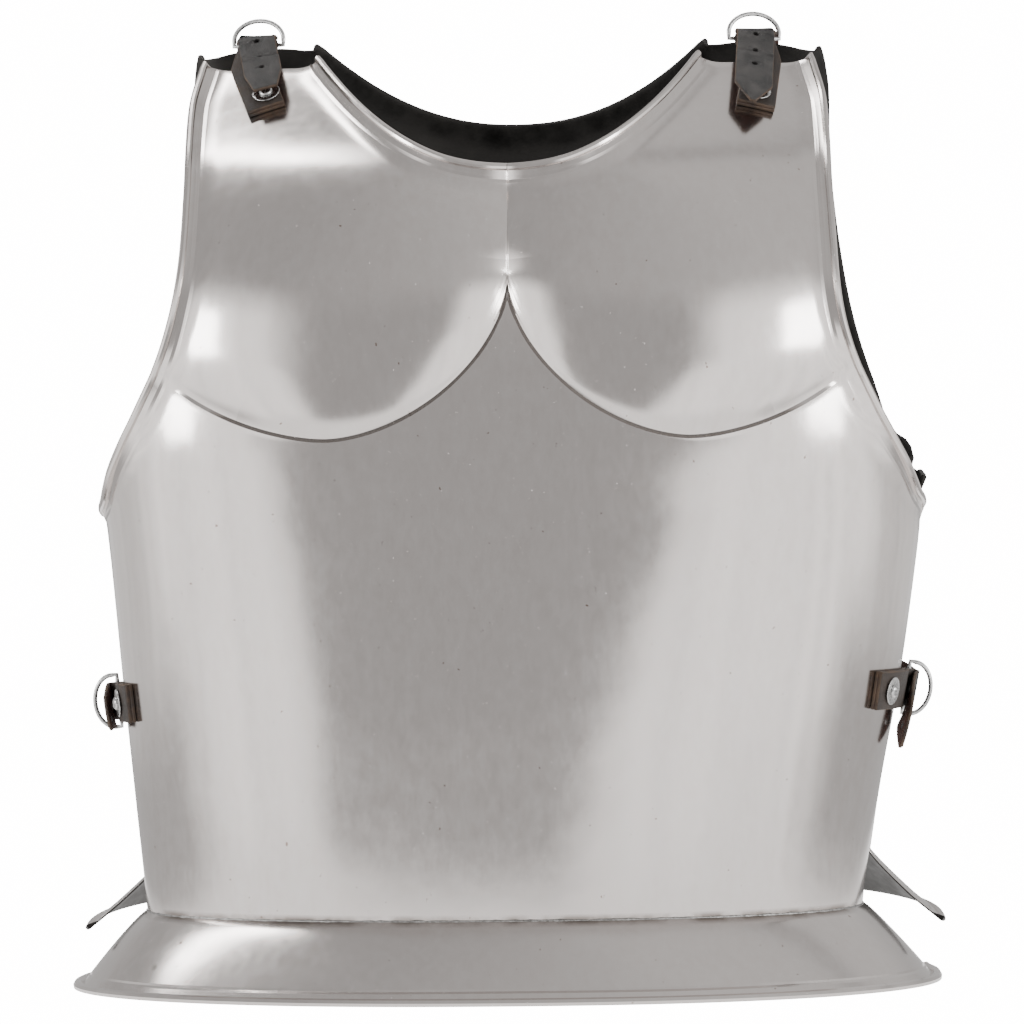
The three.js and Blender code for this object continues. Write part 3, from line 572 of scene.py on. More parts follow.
def follow(plate, strap, start, end, steps, lift, drift=0.0):
    """Stations along a plate, lifted off its sheet."""
    stations = []
    for k in range(steps + 1):
        at, normal, across = seat_on(plate, strap, lerp(start, end, k / steps), drift * k / steps)
        stations.append(Station(at + normal * (lift + SHEET / 2), across, STRAP_WIDTH / 2, STRAP_WIDTH / 2))
    return stations


def wrap(bar, radius, start, end, steps):
    """Stations round the bar of a ring, between two angles in degrees."""
    stations = []
    for k in range(steps + 1):
        angle = math.radians(lerp(start, end, k / steps))
        at = bar.centre + bar.ahead * radius * math.cos(angle) + bar.out * radius * math.sin(angle)
        stations.append(Station(at, bar.across, STRAP_WIDTH / 2, STRAP_WIDTH / 2))
    return stations


def tail_stations(strap, bar, start, steps=45):
    """The loose end: at a shoulder it lies along the plate, and at a side it stands out straight."""
    place = PLACES[strap.at]
    stations = []
    for k in range(steps):
        share = (k + 1) / steps
        gone = strap.tail * share
        at = start - bar.ahead * gone + bar.out * SPRING
        x = start[0] + strap.drift * share
        if strap.at == "shoulder" and gone > place.reach:
            height = place.breast_edge - (gone - place.reach) * abs(bar.ahead[2])
            rest, normal, _ = seat_on(BREAST, strap, height, x - strap.side * strap.x)
            at = rest + normal * (SHEET / 2 + LAYER_THREE + strap.lift * math.sin(share * math.pi / 2))
        if strap.at == "shoulder":
            at = at + bar.across * (x - at[0]) / bar.across[0]
        else:
            at = at + np.array([strap.drift * share, 0, -strap.sink * share**2])
        narrowing = min(max((gone - strap.tail + TIP_LENGTH) / TIP_LENGTH, 0), 1)
        turned = Quaternion(Vector(bar.ahead), math.radians(strap.twist * share)) @ Vector(bar.across)
        left = STRAP_WIDTH / 2 - strap.left_cut * narrowing
        right = STRAP_WIDTH / 2 - strap.right_cut * narrowing
        stations.append(Station(at, np.array(turned), left, right))
    return stations


def bar_of(strap):
    """Where the bar of a strap set's ring lies, just beyond the breastplate's edge."""
    place = PLACES[strap.at]
    at, normal, across = seat_on(BREAST, strap, place.breast_edge)
    inside = seat_on(BREAST, strap, place.breast_edge - 1)[0]
    ahead = np.cross(normal, across)
    ahead = ahead * np.sign(np.dot(ahead, at - inside))
    middle = SHEET / 2 + (LAYER_ONE + LAYER_TWO) / 2 + place.stand
    return Bar(at + ahead * place.reach + normal * middle, across, ahead, normal)


def ribbon(stations, outward):
    """A strip of leather with rounded edges, as points, faces and finishes: 0 grain, 1 flesh and 2 cut edge.

    The grain side starts facing outward.
    """
    at = np.array([s.at for s in stations])
    tangent = unit(np.gradient(at, axis=0))
    across = np.array([s.across for s in stations])
    wide = unit(across - tangent * np.sum(across * tangent, axis=1, keepdims=True))
    normal = np.cross(wide, tangent)
    grain, flesh = (0, 1) if np.dot(normal[0], outward) > 0 else (1, 0)
    left = np.array([s.left for s in stations])
    right = np.array([s.right for s in stations])
    lanes = 5
    outline = [(t, 0.0, -1.0) for t in np.linspace(-1, 1, lanes)]
    outline += [(1, 0.35, -0.6), (1, CORNER, 0.0), (1, 0.35, 0.6)]
    outline += [(t, 0.0, 1.0) for t in np.linspace(1, -1, lanes)]
    outline += [(-1, -0.35, 0.6), (-1, -CORNER, 0.0), (-1, -0.35, -0.6)]
    rows = []
    for w, beyond, t in outline:
        reach = np.where(w < 0, (left - CORNER) * w, (right - CORNER) * w) + beyond
        rows.append(at + wide * reach[:, None] + normal * (t * LEATHER / 2))
    points = np.stack(rows, axis=1)
    count, ring = points.shape[:2]
    index = np.arange(count * ring).reshape(count, ring)
    faces, kinds = [], []
    for s in range(ring):
        n = (s + 1) % ring
        strip = np.stack([index[:-1, s], index[:-1, n], index[1:, n], index[1:, s]], axis=-1)
        faces.extend(strip.tolist())
        kind = flesh if s < lanes - 1 else grain if lanes + 3 <= s < 2 * lanes + 2 else 2
        kinds.extend([kind] * len(strip))
    faces.append(index[0, ::-1].tolist())
    faces.append(index[-1].tolist())
    kinds += [2, 2]
    return points.reshape(-1, 3), faces, kinds


def leather_object(name, stations, outward, cutters, *materials):
    """A ribbon as an object, with a hole punched for each cutter's place, direction and radius."""
    points, faces, kinds = ribbon(stations, outward)
    mesh = new_mesh(name, points, faces, kinds)
    table = bmesh.new()
    table.from_mesh(mesh)
    if table.calc_volume(signed=True) < 0:
        bmesh.ops.reverse_faces(table, faces=table.faces)
    table.to_mesh(mesh)
    table.free()
    obj = add_object(name, mesh, *materials)
    for at, axis, radius in cutters:
        cutter = cylinder(at, axis, radius)
        cut = obj.modifiers.new("cut", "BOOLEAN")
        cut.operation = "DIFFERENCE"
        cut.solver = "EXACT"
        cut.object = cutter
        bake(obj)
        bpy.data.objects.remove(cutter)
    return obj


def cylinder(at, axis, radius):
    turn = Vector((0, 0, 1)).rotation_difference(Vector(axis)).to_matrix().to_4x4()
    place = Matrix.Translation(Vector(to_frame(at))) @ turn
    table = bmesh.new()
    bmesh.ops.create_cone(
        table,
        cap_ends=True,
        segments=CUTTER_SIDES,
        radius1=radius / 1000,
        radius2=radius / 1000,
        depth=CUTTER_LENGTH / 1000,
        matrix=place,
    )
    mesh = bpy.data.meshes.new("cutter")
    table.to_mesh(mesh)
    table.free()
    return add_object("cutter", mesh)


def strap_path(strap):
    """A strap's stations, and the places and directions of its holes."""
    place = PLACES[strap.at]
    bar = bar_of(strap)
    on_back = follow(BACK, strap, place.strap_end, place.back_edge, 18, LAYER_ONE + BACK_ROOM)
    over = wrap(bar, TAB_RADIUS + LEATHER + GAP, place.meet, 90, 14)
    tail = tail_stations(strap, bar, over[-1].at)
    run = np.array([over[-1].at] + [s.at for s in tail])
    across = np.array([over[-1].across] + [s.across for s in tail])
    lengths = np.concatenate([[0], np.cumsum(np.linalg.norm(np.diff(run, axis=0), axis=1))])
    holes = []
    for k in range(HOLES):
        goal = lengths[-1] * (FIRST_HOLE + HOLE_PITCH * k) / strap.tail
        at = np.array([np.interp(goal, lengths, run[:, axis]) for axis in range(3)])
        near = int(np.clip(np.searchsorted(lengths, goal), 1, len(run) - 1))
        holes.append((at, unit(np.cross(across[near], run[near] - run[near - 1])), HOLE))
    bridge = blend_stations(on_back[-1], over[0], 10)
    return on_back + bridge + over + tail, holes


def blend_stations(first, second, steps):
    """Straight stations between two, without the two themselves."""
    stations = []
    for k in range(1, steps):
        t = k / steps
        across = unit(lerp(first.across, second.across, t))
        stations.append(Station(lerp(first.at, second.at, t), across, STRAP_WIDTH / 2, STRAP_WIDTH / 2))
    return stations


def tab_path(strap):
    """A tab's stations: up its outer layer, round the bar and back down its inner layer."""
    place = PLACES[strap.at]
    bar = bar_of(strap)
    upper = follow(BREAST, strap, place.breast_edge, strap.tab_end, 24, LAYER_TWO, strap.tab_drift)
    lower = follow(BREAST, strap, place.breast_edge, strap.tab_end, 24, LAYER_ONE, strap.tab_drift)
    loop = wrap(bar, TAB_RADIUS, TAB_WRAP, -TAB_WRAP, 26)
    there = blend_stations(upper[0], loop[0], 8)
    home = blend_stations(loop[-1], lower[0], 8)
    return upper[::-1] + there + loop + home + lower


def ring_path(strap):
    """A D-ring's centre line, closed: the bar and then the bow."""
    bar = bar_of(strap)
    bow = np.array([0, 0.1, 1.0]) if strap.at == "shoulder" else np.array([strap.side, 0.15, 0.0])
    bow = unit(bow - bar.across * np.dot(bow, bar.across))
    flat = [(lerp(-RING_HALF_WIDTH, RING_HALF_WIDTH, k / 8), 0.0) for k in range(9)]
    for k in range(33):
        angle = math.pi * k / 32
        flat.append((RING_HALF_WIDTH * math.cos(angle), RING_LEG + BOW_HEIGHT * math.sin(angle)))
    return [bar.centre + bar.across * u + bow * v for u, v in flat]


# ---- Node helpers ----
def link(tree, source, target):
    tree.links.new(source, target)


def new_tree(name, sockets):
    """A geometry node tree with a geometry input and output, and named inputs with their socket types."""
    tree = bpy.data.node_groups.new(name, "GeometryNodeTree")
    tree.interface.new_socket("Geometry", in_out="INPUT", socket_type="NodeSocketGeometry")
    tree.interface.new_socket("Geometry", in_out="OUTPUT", socket_type="NodeSocketGeometry")
    for label, kind in sockets:
        tree.interface.new_socket(label, in_out="INPUT", socket_type=kind)
    return tree, tree.nodes.new("NodeGroupInput"), tree.nodes.new("NodeGroupOutput")


def node(tree, kind, inputs=None, **settings):
    made = tree.nodes.new(kind)
    for key, value in settings.items():
        setattr(made, key, value)
    for key, value in (inputs or {}).items():
        socket = made.inputs[key]
        if isinstance(value, bpy.types.NodeSocket):
            tree.links.new(value, socket)
        else:
            socket.default_value = value
    return made


def run_tree(obj, tree, values):
    """Puts a tree on an object, sets its inputs by their identifiers, and bakes it to a plain mesh."""
    modifier = obj.modifiers.new(tree.name, "NODES")
    modifier.node_group = tree
    names = {item.name: item.identifier for item in tree.interface.items_tree if item.in_out == "INPUT"}
    for label, value in values.items():
        modifier[names[label]] = value
    bake(obj)
    bpy.data.node_groups.remove(tree)
    return obj


def finish_tree(tree, geometry, output, material):
    """Ends a tree: instances made real, shaded smooth and given their material."""
    realize = node(tree, "GeometryNodeRealizeInstances", {"Geometry": geometry})
    smooth = node(tree, "GeometryNodeSetShadeSmooth", {"Geometry": realize.outputs[0]})
    coat = node(tree, "GeometryNodeSetMaterial", {"Geometry": smooth.outputs[0], "Material": material})
    link(tree, coat.outputs[0], output.inputs[0])


# ---- Materials ----
def new_material(name):
    material = bpy.data.materials.new(name)
    material.use_nodes = True
    tree = material.node_tree
    tree.nodes.clear()
    output = tree.nodes.new("ShaderNodeOutputMaterial")
    shader = tree.nodes.new("ShaderNodeBsdfPrincipled")
    tree.links.new(shader.outputs[0], output.inputs[0])
    return material, tree, shader


def object_noise(tree, scale, detail=3.0, roughness=0.5, stretch=(1, 1, 1)):
    """Noise on Object coordinates; scale is in cells for each metre."""
    place = node(tree, "ShaderNodeTexCoord")
    stretched = node(tree, "ShaderNodeMapping", {"Vector": place.outputs["Object"], "Scale": stretch})
    settings = {"Vector": stretched.outputs[0], "Scale": scale, "Detail": detail, "Roughness": roughness}
    return node(tree, "ShaderNodeTexNoise", settings).outputs["Fac"]


def ramp(tree, value, stops):
    """A colour ramp between two (position, colour) stops."""
    made = node(tree, "ShaderNodeValToRGB", {"Fac": value})
    for element, (position, colour) in zip(made.color_ramp.elements, stops):
        element.position = position
        element.color = (*colour, 1)
    return made.outputs["Color"]


def between(tree, value, low, high, to_low=0.0, to_high=1.0):
    """A value carried from one range to another and held at its ends."""
    settings = {"Value": value, "From Min": low, "From Max": high, "To Min": to_low, "To Max": to_high}
    return node(tree, "ShaderNodeMapRange", settings).outputs[0]


def combine(tree, operation, first, second):
    return node(tree, "ShaderNodeMath", {0: first, 1: second}, operation=operation).outputs[0]


def times(tree, first, second):
    return combine(tree, "MULTIPLY", first, second)


def plus(tree, first, second):
    return combine(tree, "ADD", first, second)


def minus(tree, first, second):
    return combine(tree, "SUBTRACT", first, second)


def magnitude(tree, value):
    return combine(tree, "ABSOLUTE", value, 0)


def mixed(tree, share, first, second):
    return node(tree, "ShaderNodeMix", {0: share, 6: first, 7: second}, data_type="RGBA").outputs[2]


def attribute(tree, name):
    return node(tree, "ShaderNodeAttribute", attribute_name=name).outputs["Fac"]


def band(tree, value, centre, half):
    """1 where the value is at the centre, falling to 0 at half a width away."""
    return between(tree, magnitude(tree, minus(tree, value, centre)), half, 0)


def spot(tree, place, centre, radius):
    """1 within a round mark of this radius and 0 outside it, with a soft edge."""
    away = node(tree, "ShaderNodeVectorMath", {0: place, 1: centre}, operation="DISTANCE").outputs["Value"]
    return between(tree, away, radius, radius * 0.45)


def bump(tree, height, distance, normal=None):
    inputs = {"Height": height, "Distance": distance}
    if normal is not None:
        inputs["Normal"] = normal
    return node(tree, "ShaderNodeBump", inputs).outputs[0]


def steel_material(look):
    """Polished sheet: slow waves, a groove beside the rolls, a lip under the pectorals, pits, rust, smoke."""
    material, tree, shader = new_material("polished steel")
    sway = object_noise(tree, 10, detail=1.0)
    dents = object_noise(tree, 40, detail=1.5)
    brushed = object_noise(tree, 160, detail=7, roughness=0.7, stretch=(1, 1, 0.5))
    pits = object_noise(tree, 700, detail=2, roughness=0.6)
    edge = attribute(tree, "edge")
    lip = attribute(tree, "lip")
    rim = attribute(tree, "rim")

    under = between(tree, lip, look.lip / 1000, 0)
    under = times(tree, times(tree, under, under), between(tree, lip, -0.002, 0))
    under = times(tree, under, between(tree, edge, 0.01, 0.05))
    relief = bump(tree, plus(tree, sway, times(tree, dents, 0.08)), look.sway / 1000)
    relief = bump(tree, under, -0.0038, relief)
    relief = bump(tree, times(tree, band(tree, edge, 0.0042, 0.0016), -1), 0.0003, relief)
    relief = bump(tree, brushed, 0.00001, relief)
    relief = bump(tree, between(tree, pits, 0.74, 0.82), -0.00012, relief)
    relief = bump(tree, band(tree, rim, 0.0062, 0.0014), -0.0004, relief)
    link(tree, relief, shader.inputs["Normal"])

    tone = ramp(tree, brushed, [(0.3, (0.65, 0.605, 0.58)), (0.7, (0.7, 0.665, 0.645))])
    patchy = between(tree, object_noise(tree, 6, detail=4), 0.35, 0.7, 0, 0.5)
    worn = mixed(tree, patchy, tone, (0.64, 0.6, 0.58, 1))
    scorched = between(tree, object_noise(tree, 45, detail=5), 0.4, 0.62)
    smoke = times(tree, between(tree, magnitude(tree, attribute(tree, "seam")), 0.0034, 0.0012), scorched)
    place = node(tree, "ShaderNodeTexCoord").outputs["Object"]
    for centre, radius in SCORCH_MARKS:
        smoke = combine(tree, "MAXIMUM", smoke, spot(tree, place, centre, radius))
    stained = mixed(tree, times(tree, smoke, 0.75), worn, (0.16, 0.13, 0.11, 1))
    rust = times(tree, between(tree, object_noise(tree, 260, detail=2), 0.735, 0.79), 0.7)
    link(tree, mixed(tree, rust, stained, (0.2, 0.12, 0.08, 1)), shader.inputs["Base Color"])
    polish = between(tree, brushed, 0.3, 0.7, look.roughness, look.roughness + 0.05)
    link(tree, polish, shader.inputs["Roughness"])
    shader.inputs["Metallic"].default_value = 1
    return material


def blackened_material():
    material, tree, shader = new_material("blackened steel")
    scale = object_noise(tree, 60, detail=6, roughness=0.7)
    rubbed = between(tree, object_noise(tree, 9, detail=5), 0.55, 0.8, 0, 0.6)
    colour = ramp(tree, scale, [(0.35, (0.012, 0.011, 0.01)), (0.65, (0.03, 0.028, 0.026))])
    link(tree, mixed(tree, rubbed, colour, (0.075, 0.07, 0.065, 1)), shader.inputs["Base Color"])
    link(tree, between(tree, scale, 0.3, 0.7, 0.35, 0.6), shader.inputs["Roughness"])
    link(tree, bump(tree, scale, 0.0002), shader.inputs["Normal"])
    shader.inputs["Metallic"].default_value = 0.7
    return material


def bright_material():
    material, tree, shader = new_material("bright plated steel")
    worn = object_noise(tree, 700, detail=5)
    colour = ramp(tree, worn, [(0.35, (0.42, 0.42, 0.42)), (0.6, (0.66, 0.66, 0.65))])
    link(tree, colour, shader.inputs["Base Color"])
    link(tree, between(tree, worn, 0.3, 0.7, 0.16, 0.34), shader.inputs["Roughness"])
    link(tree, bump(tree, worn, 0.00008), shader.inputs["Normal"])
    shader.inputs["Metallic"].default_value = 1
    return material


def weld_material():
    material, tree, shader = new_material("ground weld")
    lumps = object_noise(tree, 500, detail=5, roughness=0.7)
    colour = ramp(tree, lumps, [(0.3, (0.12, 0.115, 0.11)), (0.65, (0.5, 0.49, 0.48))])
    link(tree, colour, shader.inputs["Base Color"])
    link(tree, between(tree, lumps, 0.3, 0.7, 0.5, 0.25), shader.inputs["Roughness"])
    link(tree, bump(tree, lumps, 0.0004), shader.inputs["Normal"])
    shader.inputs["Metallic"].default_value = 1
    return material


def leather_material(name, dark, light, grain=1400, height=0.0001):
    """Worn leather between two tones, with pores; grain is in cells for each metre."""
    material, tree, shader = new_material(name)
    place = node(tree, "ShaderNodeTexCoord")
    cells = {"Vector": place.outputs["Object"], "Scale": grain, "Randomness": 1.0}
    pores = node(tree, "ShaderNodeTexVoronoi", cells, feature="DISTANCE_TO_EDGE").outputs["Distance"]
    wear = object_noise(tree, 90, detail=6, roughness=0.65)
    link(tree, ramp(tree, wear, [(0.35, dark), (0.68, light)]), shader.inputs["Base Color"])
    link(tree, between(tree, wear, 0.35, 0.7, 0.42, 0.68), shader.inputs["Roughness"])
    relief = plus(tree, between(tree, pores, 0, 0.25), times(tree, wear, 0.8))
    link(tree, bump(tree, relief, height), shader.inputs["Normal"])
    return material


# ---- Settings ----
def colour_setting(name, description, default):
    return FloatVectorProperty(
        name=name, description=description, subtype="COLOR", size=3, min=0, max=1, default=default
    )


def setting(name, description, default, **limits):
    return FloatProperty(name=name, description=description, default=default, **limits)


class CuirassSteelSettings(bpy.types.PropertyGroup):
    """Sizes and finish of the plates."""

    sway: setting("Hand-made waves", "Height of the slow waves in the sheet, mm", 1.6)
    roughness: setting("Polish", "Roughness of the polished steel", 0.15, min=0, max=1)
    lip: setting("Pectoral lip", "How far above its lower edge a pectoral starts to turn under, mm", 34)
    weld: setting("Weld bead", "Radius of the bead on the waist seam, mm", 0.9)


class CuirassLeatherSettings(bpy.types.PropertyGroup):
    """Colours of the straps and tabs."""

    strap: colour_setting("Strap", "Dark tone of the straps' grain side", (0.012, 0.0115, 0.011))
    tab: colour_setting("Tab", "Dark tone of the tabs", (0.012, 0.008, 0.006))
    flesh: colour_setting("Flesh side", "Light tone of the flesh side", (0.11, 0.045, 0.032))


class CuirassHardwareSettings(bpy.types.PropertyGroup):
    """Sizes of the rings, rivets and washers."""

    wire: setting("Ring wire", "Radius of the D-rings' wire, mm", WIRE)
    head: setting("Rivet head", "Radius of the rivets' domes, mm", 3.6)
    rise: setting("Rivet rise", "Height of the rivets' domes, mm", 1.9)
    washer: setting("Washer", "Outer radius of the washers, mm", 7.3)
    sides: IntProperty(name="Sides", description="Sides of a washer's outline", default=40, min=8)


class CuirassStageSettings(bpy.types.PropertyGroup):
    """Strength of the studio lights."""

    sides: setting("Side lights", "Power of each side light, in watts", 10, unit="POWER")
    strip: setting("Strip", "Brightness of the strip light on the ceiling", 14.0)
    room: setting("Room", "Brightness of the dim front of the room and floor", 0.53)
    tent: setting("Tent", "Brightness of the white tent round the sides", 1.65)
    rear: setting("Rear", "Brightness of the room behind the object", 0.62)
    ceiling: setting("Ceiling", "Brightness of the ceiling", 0.52)
    wedge_left: setting("Wedge left", "Slope of the dim wedge's left side", 0.68)
    wedge_right: setting("Wedge right", "Slope of the dim wedge's right side", 0.45)
    backdrop: setting("Backdrop", "Brightness of the floor and backdrop where they are seen directly", 16.0)


# ---- Operators ----
class CuirassOperator:
    bl_options = {"REGISTER", "UNDO"}


class CUIRASS_OT_plates(CuirassOperator, bpy.types.Operator):
    """Make the breastplate and the backplate, with their rolled edges and rims"""

    bl_idname = "cuirass.plates"
    bl_label = "Plates"

    def execute(self, context):
        look = context.scene.cuirass_steel
        outside, inside = steel_material(look), blackened_material()
        for name, plate in (("breastplate", BREAST), ("backplate", BACK)):
            obj = add_object(f"{name}_shell", plate_mesh(f"{name}_shell", plate), outside, inside)
            obj.data.set_sharp_from_angle(angle=math.radians(SHARP_ANGLE))
            settle(obj, [name])
        return {"FINISHED"}


class CUIRASS_OT_welds(CuirassOperator, bpy.types.Operator):
    """Run a rough bead of weld along the waist seam of each plate"""

    bl_idname = "cuirass.welds"
    bl_label = "Waist welds"

    def execute(self, context):
        look = context.scene.cuirass_steel
        finish = weld_material()
        for name, plate in (("breastplate", BREAST), ("backplate", BACK)):
            turns = np.linspace(-1, 1, 241) * math.radians(plate.seam.turn)
            z = plate.seam.z + plate.seam.rise * np.cos(np.clip(turns, -math.pi / 2, math.pi / 2))
            at = torso_point(plate, turns, z) + torso_normal(plate, turns, z) * SHEET * 0.3
            obj = path_object(f"{name}_waist_weld", [at], False)
            sockets = [("Radius", "NodeSocketFloat"), ("Lumps", "NodeSocketFloat")]
            tree, given, output = new_tree("weld bead", sockets)
            place = node(tree, "GeometryNodeInputPosition").outputs[0]
            noise = node(tree, "ShaderNodeTexNoise", {"Vector": place, "Scale": 160.0, "Detail": 3.0})
            share = between(tree, noise.outputs[0], 0.3, 0.7, 0.55, 1.25)
            radius = times(tree, share, given.outputs["Radius"])
            path = node(tree, "GeometryNodeMeshToCurve", {"Mesh": given.outputs[0]})
            profile = node(tree, "GeometryNodeCurvePrimitiveCircle", {"Resolution": 10, "Radius": 1.0})
            swept = {"Curve": path.outputs[0], "Profile Curve": profile.outputs[0]}
            swept |= {"Scale": radius, "Fill Caps": True}
            bead = node(tree, "GeometryNodeCurveToMesh", swept)
            rough = node(tree, "ShaderNodeTexNoise", {"Vector": place, "Scale": 420.0, "Detail": 2.0})
            push = times(tree, minus(tree, rough.outputs[0], 0.5), given.outputs["Lumps"])
            face = node(tree, "GeometryNodeInputNormal").outputs[0]
            offset = node(tree, "ShaderNodeVectorMath", {0: face, "Scale": push}, operation="SCALE")
            moved = {"Geometry": bead.outputs[0], "Offset": offset.outputs[0]}
            finish_tree(tree, node(tree, "GeometryNodeSetPosition", moved).outputs[0], output, finish)
            run_tree(obj, tree, {"Radius": look.weld / 1000, "Lumps": look.weld / 1500})
            settle(obj)
        return {"FINISHED"}


class CUIRASS_OT_leather(CuirassOperator, bpy.types.Operator):
    """Make the four straps and the four tabs, with their punched holes"""

    bl_idname = "cuirass.leather"
    bl_label = "Straps and tabs"

    def execute(self, context):
        look = context.scene.cuirass_leather
        grain = leather_material("strap grain", look.strap, (0.075, 0.07, 0.067))
        tab_grain = leather_material("tab grain", look.tab, (0.05, 0.036, 0.028))
        flesh = leather_material("flesh side", (0.035, 0.016, 0.012), look.flesh, 700, 0.00025)
        cut = leather_material("cut edge", (0.02, 0.013, 0.01), (0.12, 0.075, 0.045), 900, 0.00015)
        for strap in STRAP_SETS:
            stations, holes = strap_path(strap)
            outward = seat_on(BACK, strap, PLACES[strap.at].strap_end)[1]
            obj = leather_object(f"{strap.name}_strap_leather", stations, outward, holes, grain, flesh, cut)
            settle(obj, [f"{strap.name}_strap"])
            outward = seat_on(BREAST, strap, strap.tab_end)[1]
            stations = tab_path(strap)
            obj = leather_object(f"{strap.name}_tab_leather", stations, outward, [], tab_grain, flesh, cut)
            settle(obj, [f"{strap.name}_tab"])
        return {"FINISHED"}


class CUIRASS_OT_rings(CuirassOperator, bpy.types.Operator):
    """Sweep a round wire along the outline of each D-ring"""

    bl_idname = "cuirass.rings"
    bl_label = "D-rings"

    def execute(self, context):
        look = context.scene.cuirass_hardware
        obj = path_object("d_rings", [ring_path(strap) for strap in STRAP_SETS], True)
        tree, given, output = new_tree("ring wire", [("Wire", "NodeSocketFloat"), ("Sides", "NodeSocketInt")])
        profile = {"Resolution": given.outputs["Sides"], "Radius": given.outputs["Wire"]}
        wire = node(tree, "GeometryNodeCurvePrimitiveCircle", profile)
        path = node(tree, "GeometryNodeMeshToCurve", {"Mesh": given.outputs[0]})
        swept = {"Curve": path.outputs[0], "Profile Curve": wire.outputs[0]}
        finish_tree(tree, node(tree, "GeometryNodeCurveToMesh", swept).outputs[0], output, bright_material())
        run_tree(obj, tree, {"Wire": look.wire / 1000, "Sides": 16})
        settle(obj, [f"{strap.name}_ring" for strap in STRAP_SETS])
        return {"FINISHED"}


def fastener_points(lift_tab, lift_strap):
    """The seats of the eight rivets, lifted off the sheet: places and axes."""
    places, axes = [], []
    for strap in STRAP_SETS:
        tab_seat = seat_on(BREAST, strap, strap.tab_rivet, strap.rivet_shift)
        strap_seat = seat_on(BACK, strap, PLACES[strap.at].strap_rivet)
        for (at, normal, _), lift in ((tab_seat, lift_tab), (strap_seat, lift_strap)):
            places.append(at + normal * (SHEET / 2 + lift))
            axes.append(normal)
    return places, axes


def fastener_tree(name, shape, sockets):
    """A tree that puts a shape on every point, standing along the point's axis attribute."""
    tree, given, output = new_tree(name, sockets)
    axis = node(tree, "GeometryNodeInputNamedAttribute", {"Name": "axis"}, data_type="FLOAT_VECTOR")
    turn = node(tree, "FunctionNodeAlignRotationToVector", {"Vector": axis.outputs[0]}, axis="Z")
    points = node(tree, "GeometryNodeMeshToPoints", {"Mesh": given.outputs[0]})
    settings = {"Points": points.outputs[0], "Instance": shape(tree, given), "Rotation": turn.outputs[0]}
    placed = node(tree, "GeometryNodeInstanceOnPoints", settings)
    finish_tree(tree, placed.outputs[0], output, bright_material())
    return tree


def points_object(name, places, axes):
    obj = add_object(name, new_mesh(name, places, []))
    layer = obj.data.attributes.new("axis", "FLOAT_VECTOR", "POINT")
    layer.data.foreach_set("vector", np.array(axes).astype(np.float32).ravel())
    return obj


class CUIRASS_OT_rivets(CuirassOperator, bpy.types.Operator):
    """Set a domed rivet on each leather end"""

    bl_idname = "cuirass.rivets"
    bl_label = "Rivets"

    def execute(self, context):
        look = context.scene.cuirass_hardware
        lift = WASHER_THICKNESS + GAP
        obj = points_object("rivet_heads", *fastener_points(ON_TAB + lift, ON_STRAP + lift))

        def dome(tree, given):
            ball = node(tree, "GeometryNodeMeshUVSphere", {"Segments": 28, "Rings": 16, "Radius": 1.0})
            place = node(tree, "GeometryNodeInputPosition").outputs[0]
            parts = node(tree, "ShaderNodeSeparateXYZ", {0: place})
            up = combine(tree, "MAXIMUM", parts.outputs[2], -0.12)
            beaten = node(tree, "ShaderNodeTexNoise", {"Vector": place, "Scale": 1.6, "Detail": 1.0})
            uneven = between(tree, beaten.outputs[0], 0.3, 0.7, 0.9, 1.1)
            height = times(tree, times(tree, up, uneven), given.outputs["Rise"])
            x = times(tree, parts.outputs[0], given.outputs["Head"])
            y = times(tree, parts.outputs[1], given.outputs["Head"])
            formed = node(tree, "ShaderNodeCombineXYZ", {0: x, 1: y, 2: height})
            moved = {"Geometry": ball.outputs[0], "Position": formed.outputs[0]}
            return node(tree, "GeometryNodeSetPosition", moved).outputs[0]

        tree = fastener_tree("rivet heads", dome, [("Head", "NodeSocketFloat"), ("Rise", "NodeSocketFloat")])
        run_tree(obj, tree, {"Head": look.head / 1000, "Rise": look.rise / 1000})
        nodes = [f"{strap.name}_{end}_rivet" for strap in STRAP_SETS for end in ("tab", "strap")]
        settle(obj, nodes)
        return {"FINISHED"}


class CUIRASS_OT_washers(CuirassOperator, bpy.types.Operator):
    """Put a bevelled washer under each rivet"""

    bl_idname = "cuirass.washers"
    bl_label = "Washers"

    def execute(self, context):
        look = context.scene.cuirass_hardware
        lift = WASHER_THICKNESS / 2
        obj = points_object("washers", *fastener_points(ON_TAB + lift, ON_STRAP + lift))

        def washer(tree, given):
            bore = (SHANK + GAP) / 1000
            middle = times(tree, plus(tree, given.outputs["Outer"], bore), 0.5)
            wide = minus(tree, given.outputs["Outer"], bore)
            circle = {"Resolution": given.outputs["Sides"], "Radius": middle}
            path = node(tree, "GeometryNodeCurvePrimitiveCircle", circle)
            flat = {"Width": wide, "Height": WASHER_THICKNESS / 1000}
            box = node(tree, "GeometryNodeCurvePrimitiveQuadrilateral", flat)
            soft = {"Curve": box.outputs[0], "Radius": 0.0003, "Count": 3}
            profile = node(tree, "GeometryNodeFilletCurve", soft, mode="POLY")
            swept = {"Curve": path.outputs[0], "Profile Curve": profile.outputs[0]}
            return node(tree, "GeometryNodeCurveToMesh", swept).outputs[0]

        tree = fastener_tree("washers", washer, [("Outer", "NodeSocketFloat"), ("Sides", "NodeSocketInt")])
        run_tree(obj, tree, {"Outer": look.washer / 1000, "Sides": look.sides})
        nodes = [f"{strap.name}_{end}_washer" for strap in STRAP_SETS for end in ("tab", "strap")]
        settle(obj, nodes)
        return {"FINISHED"}


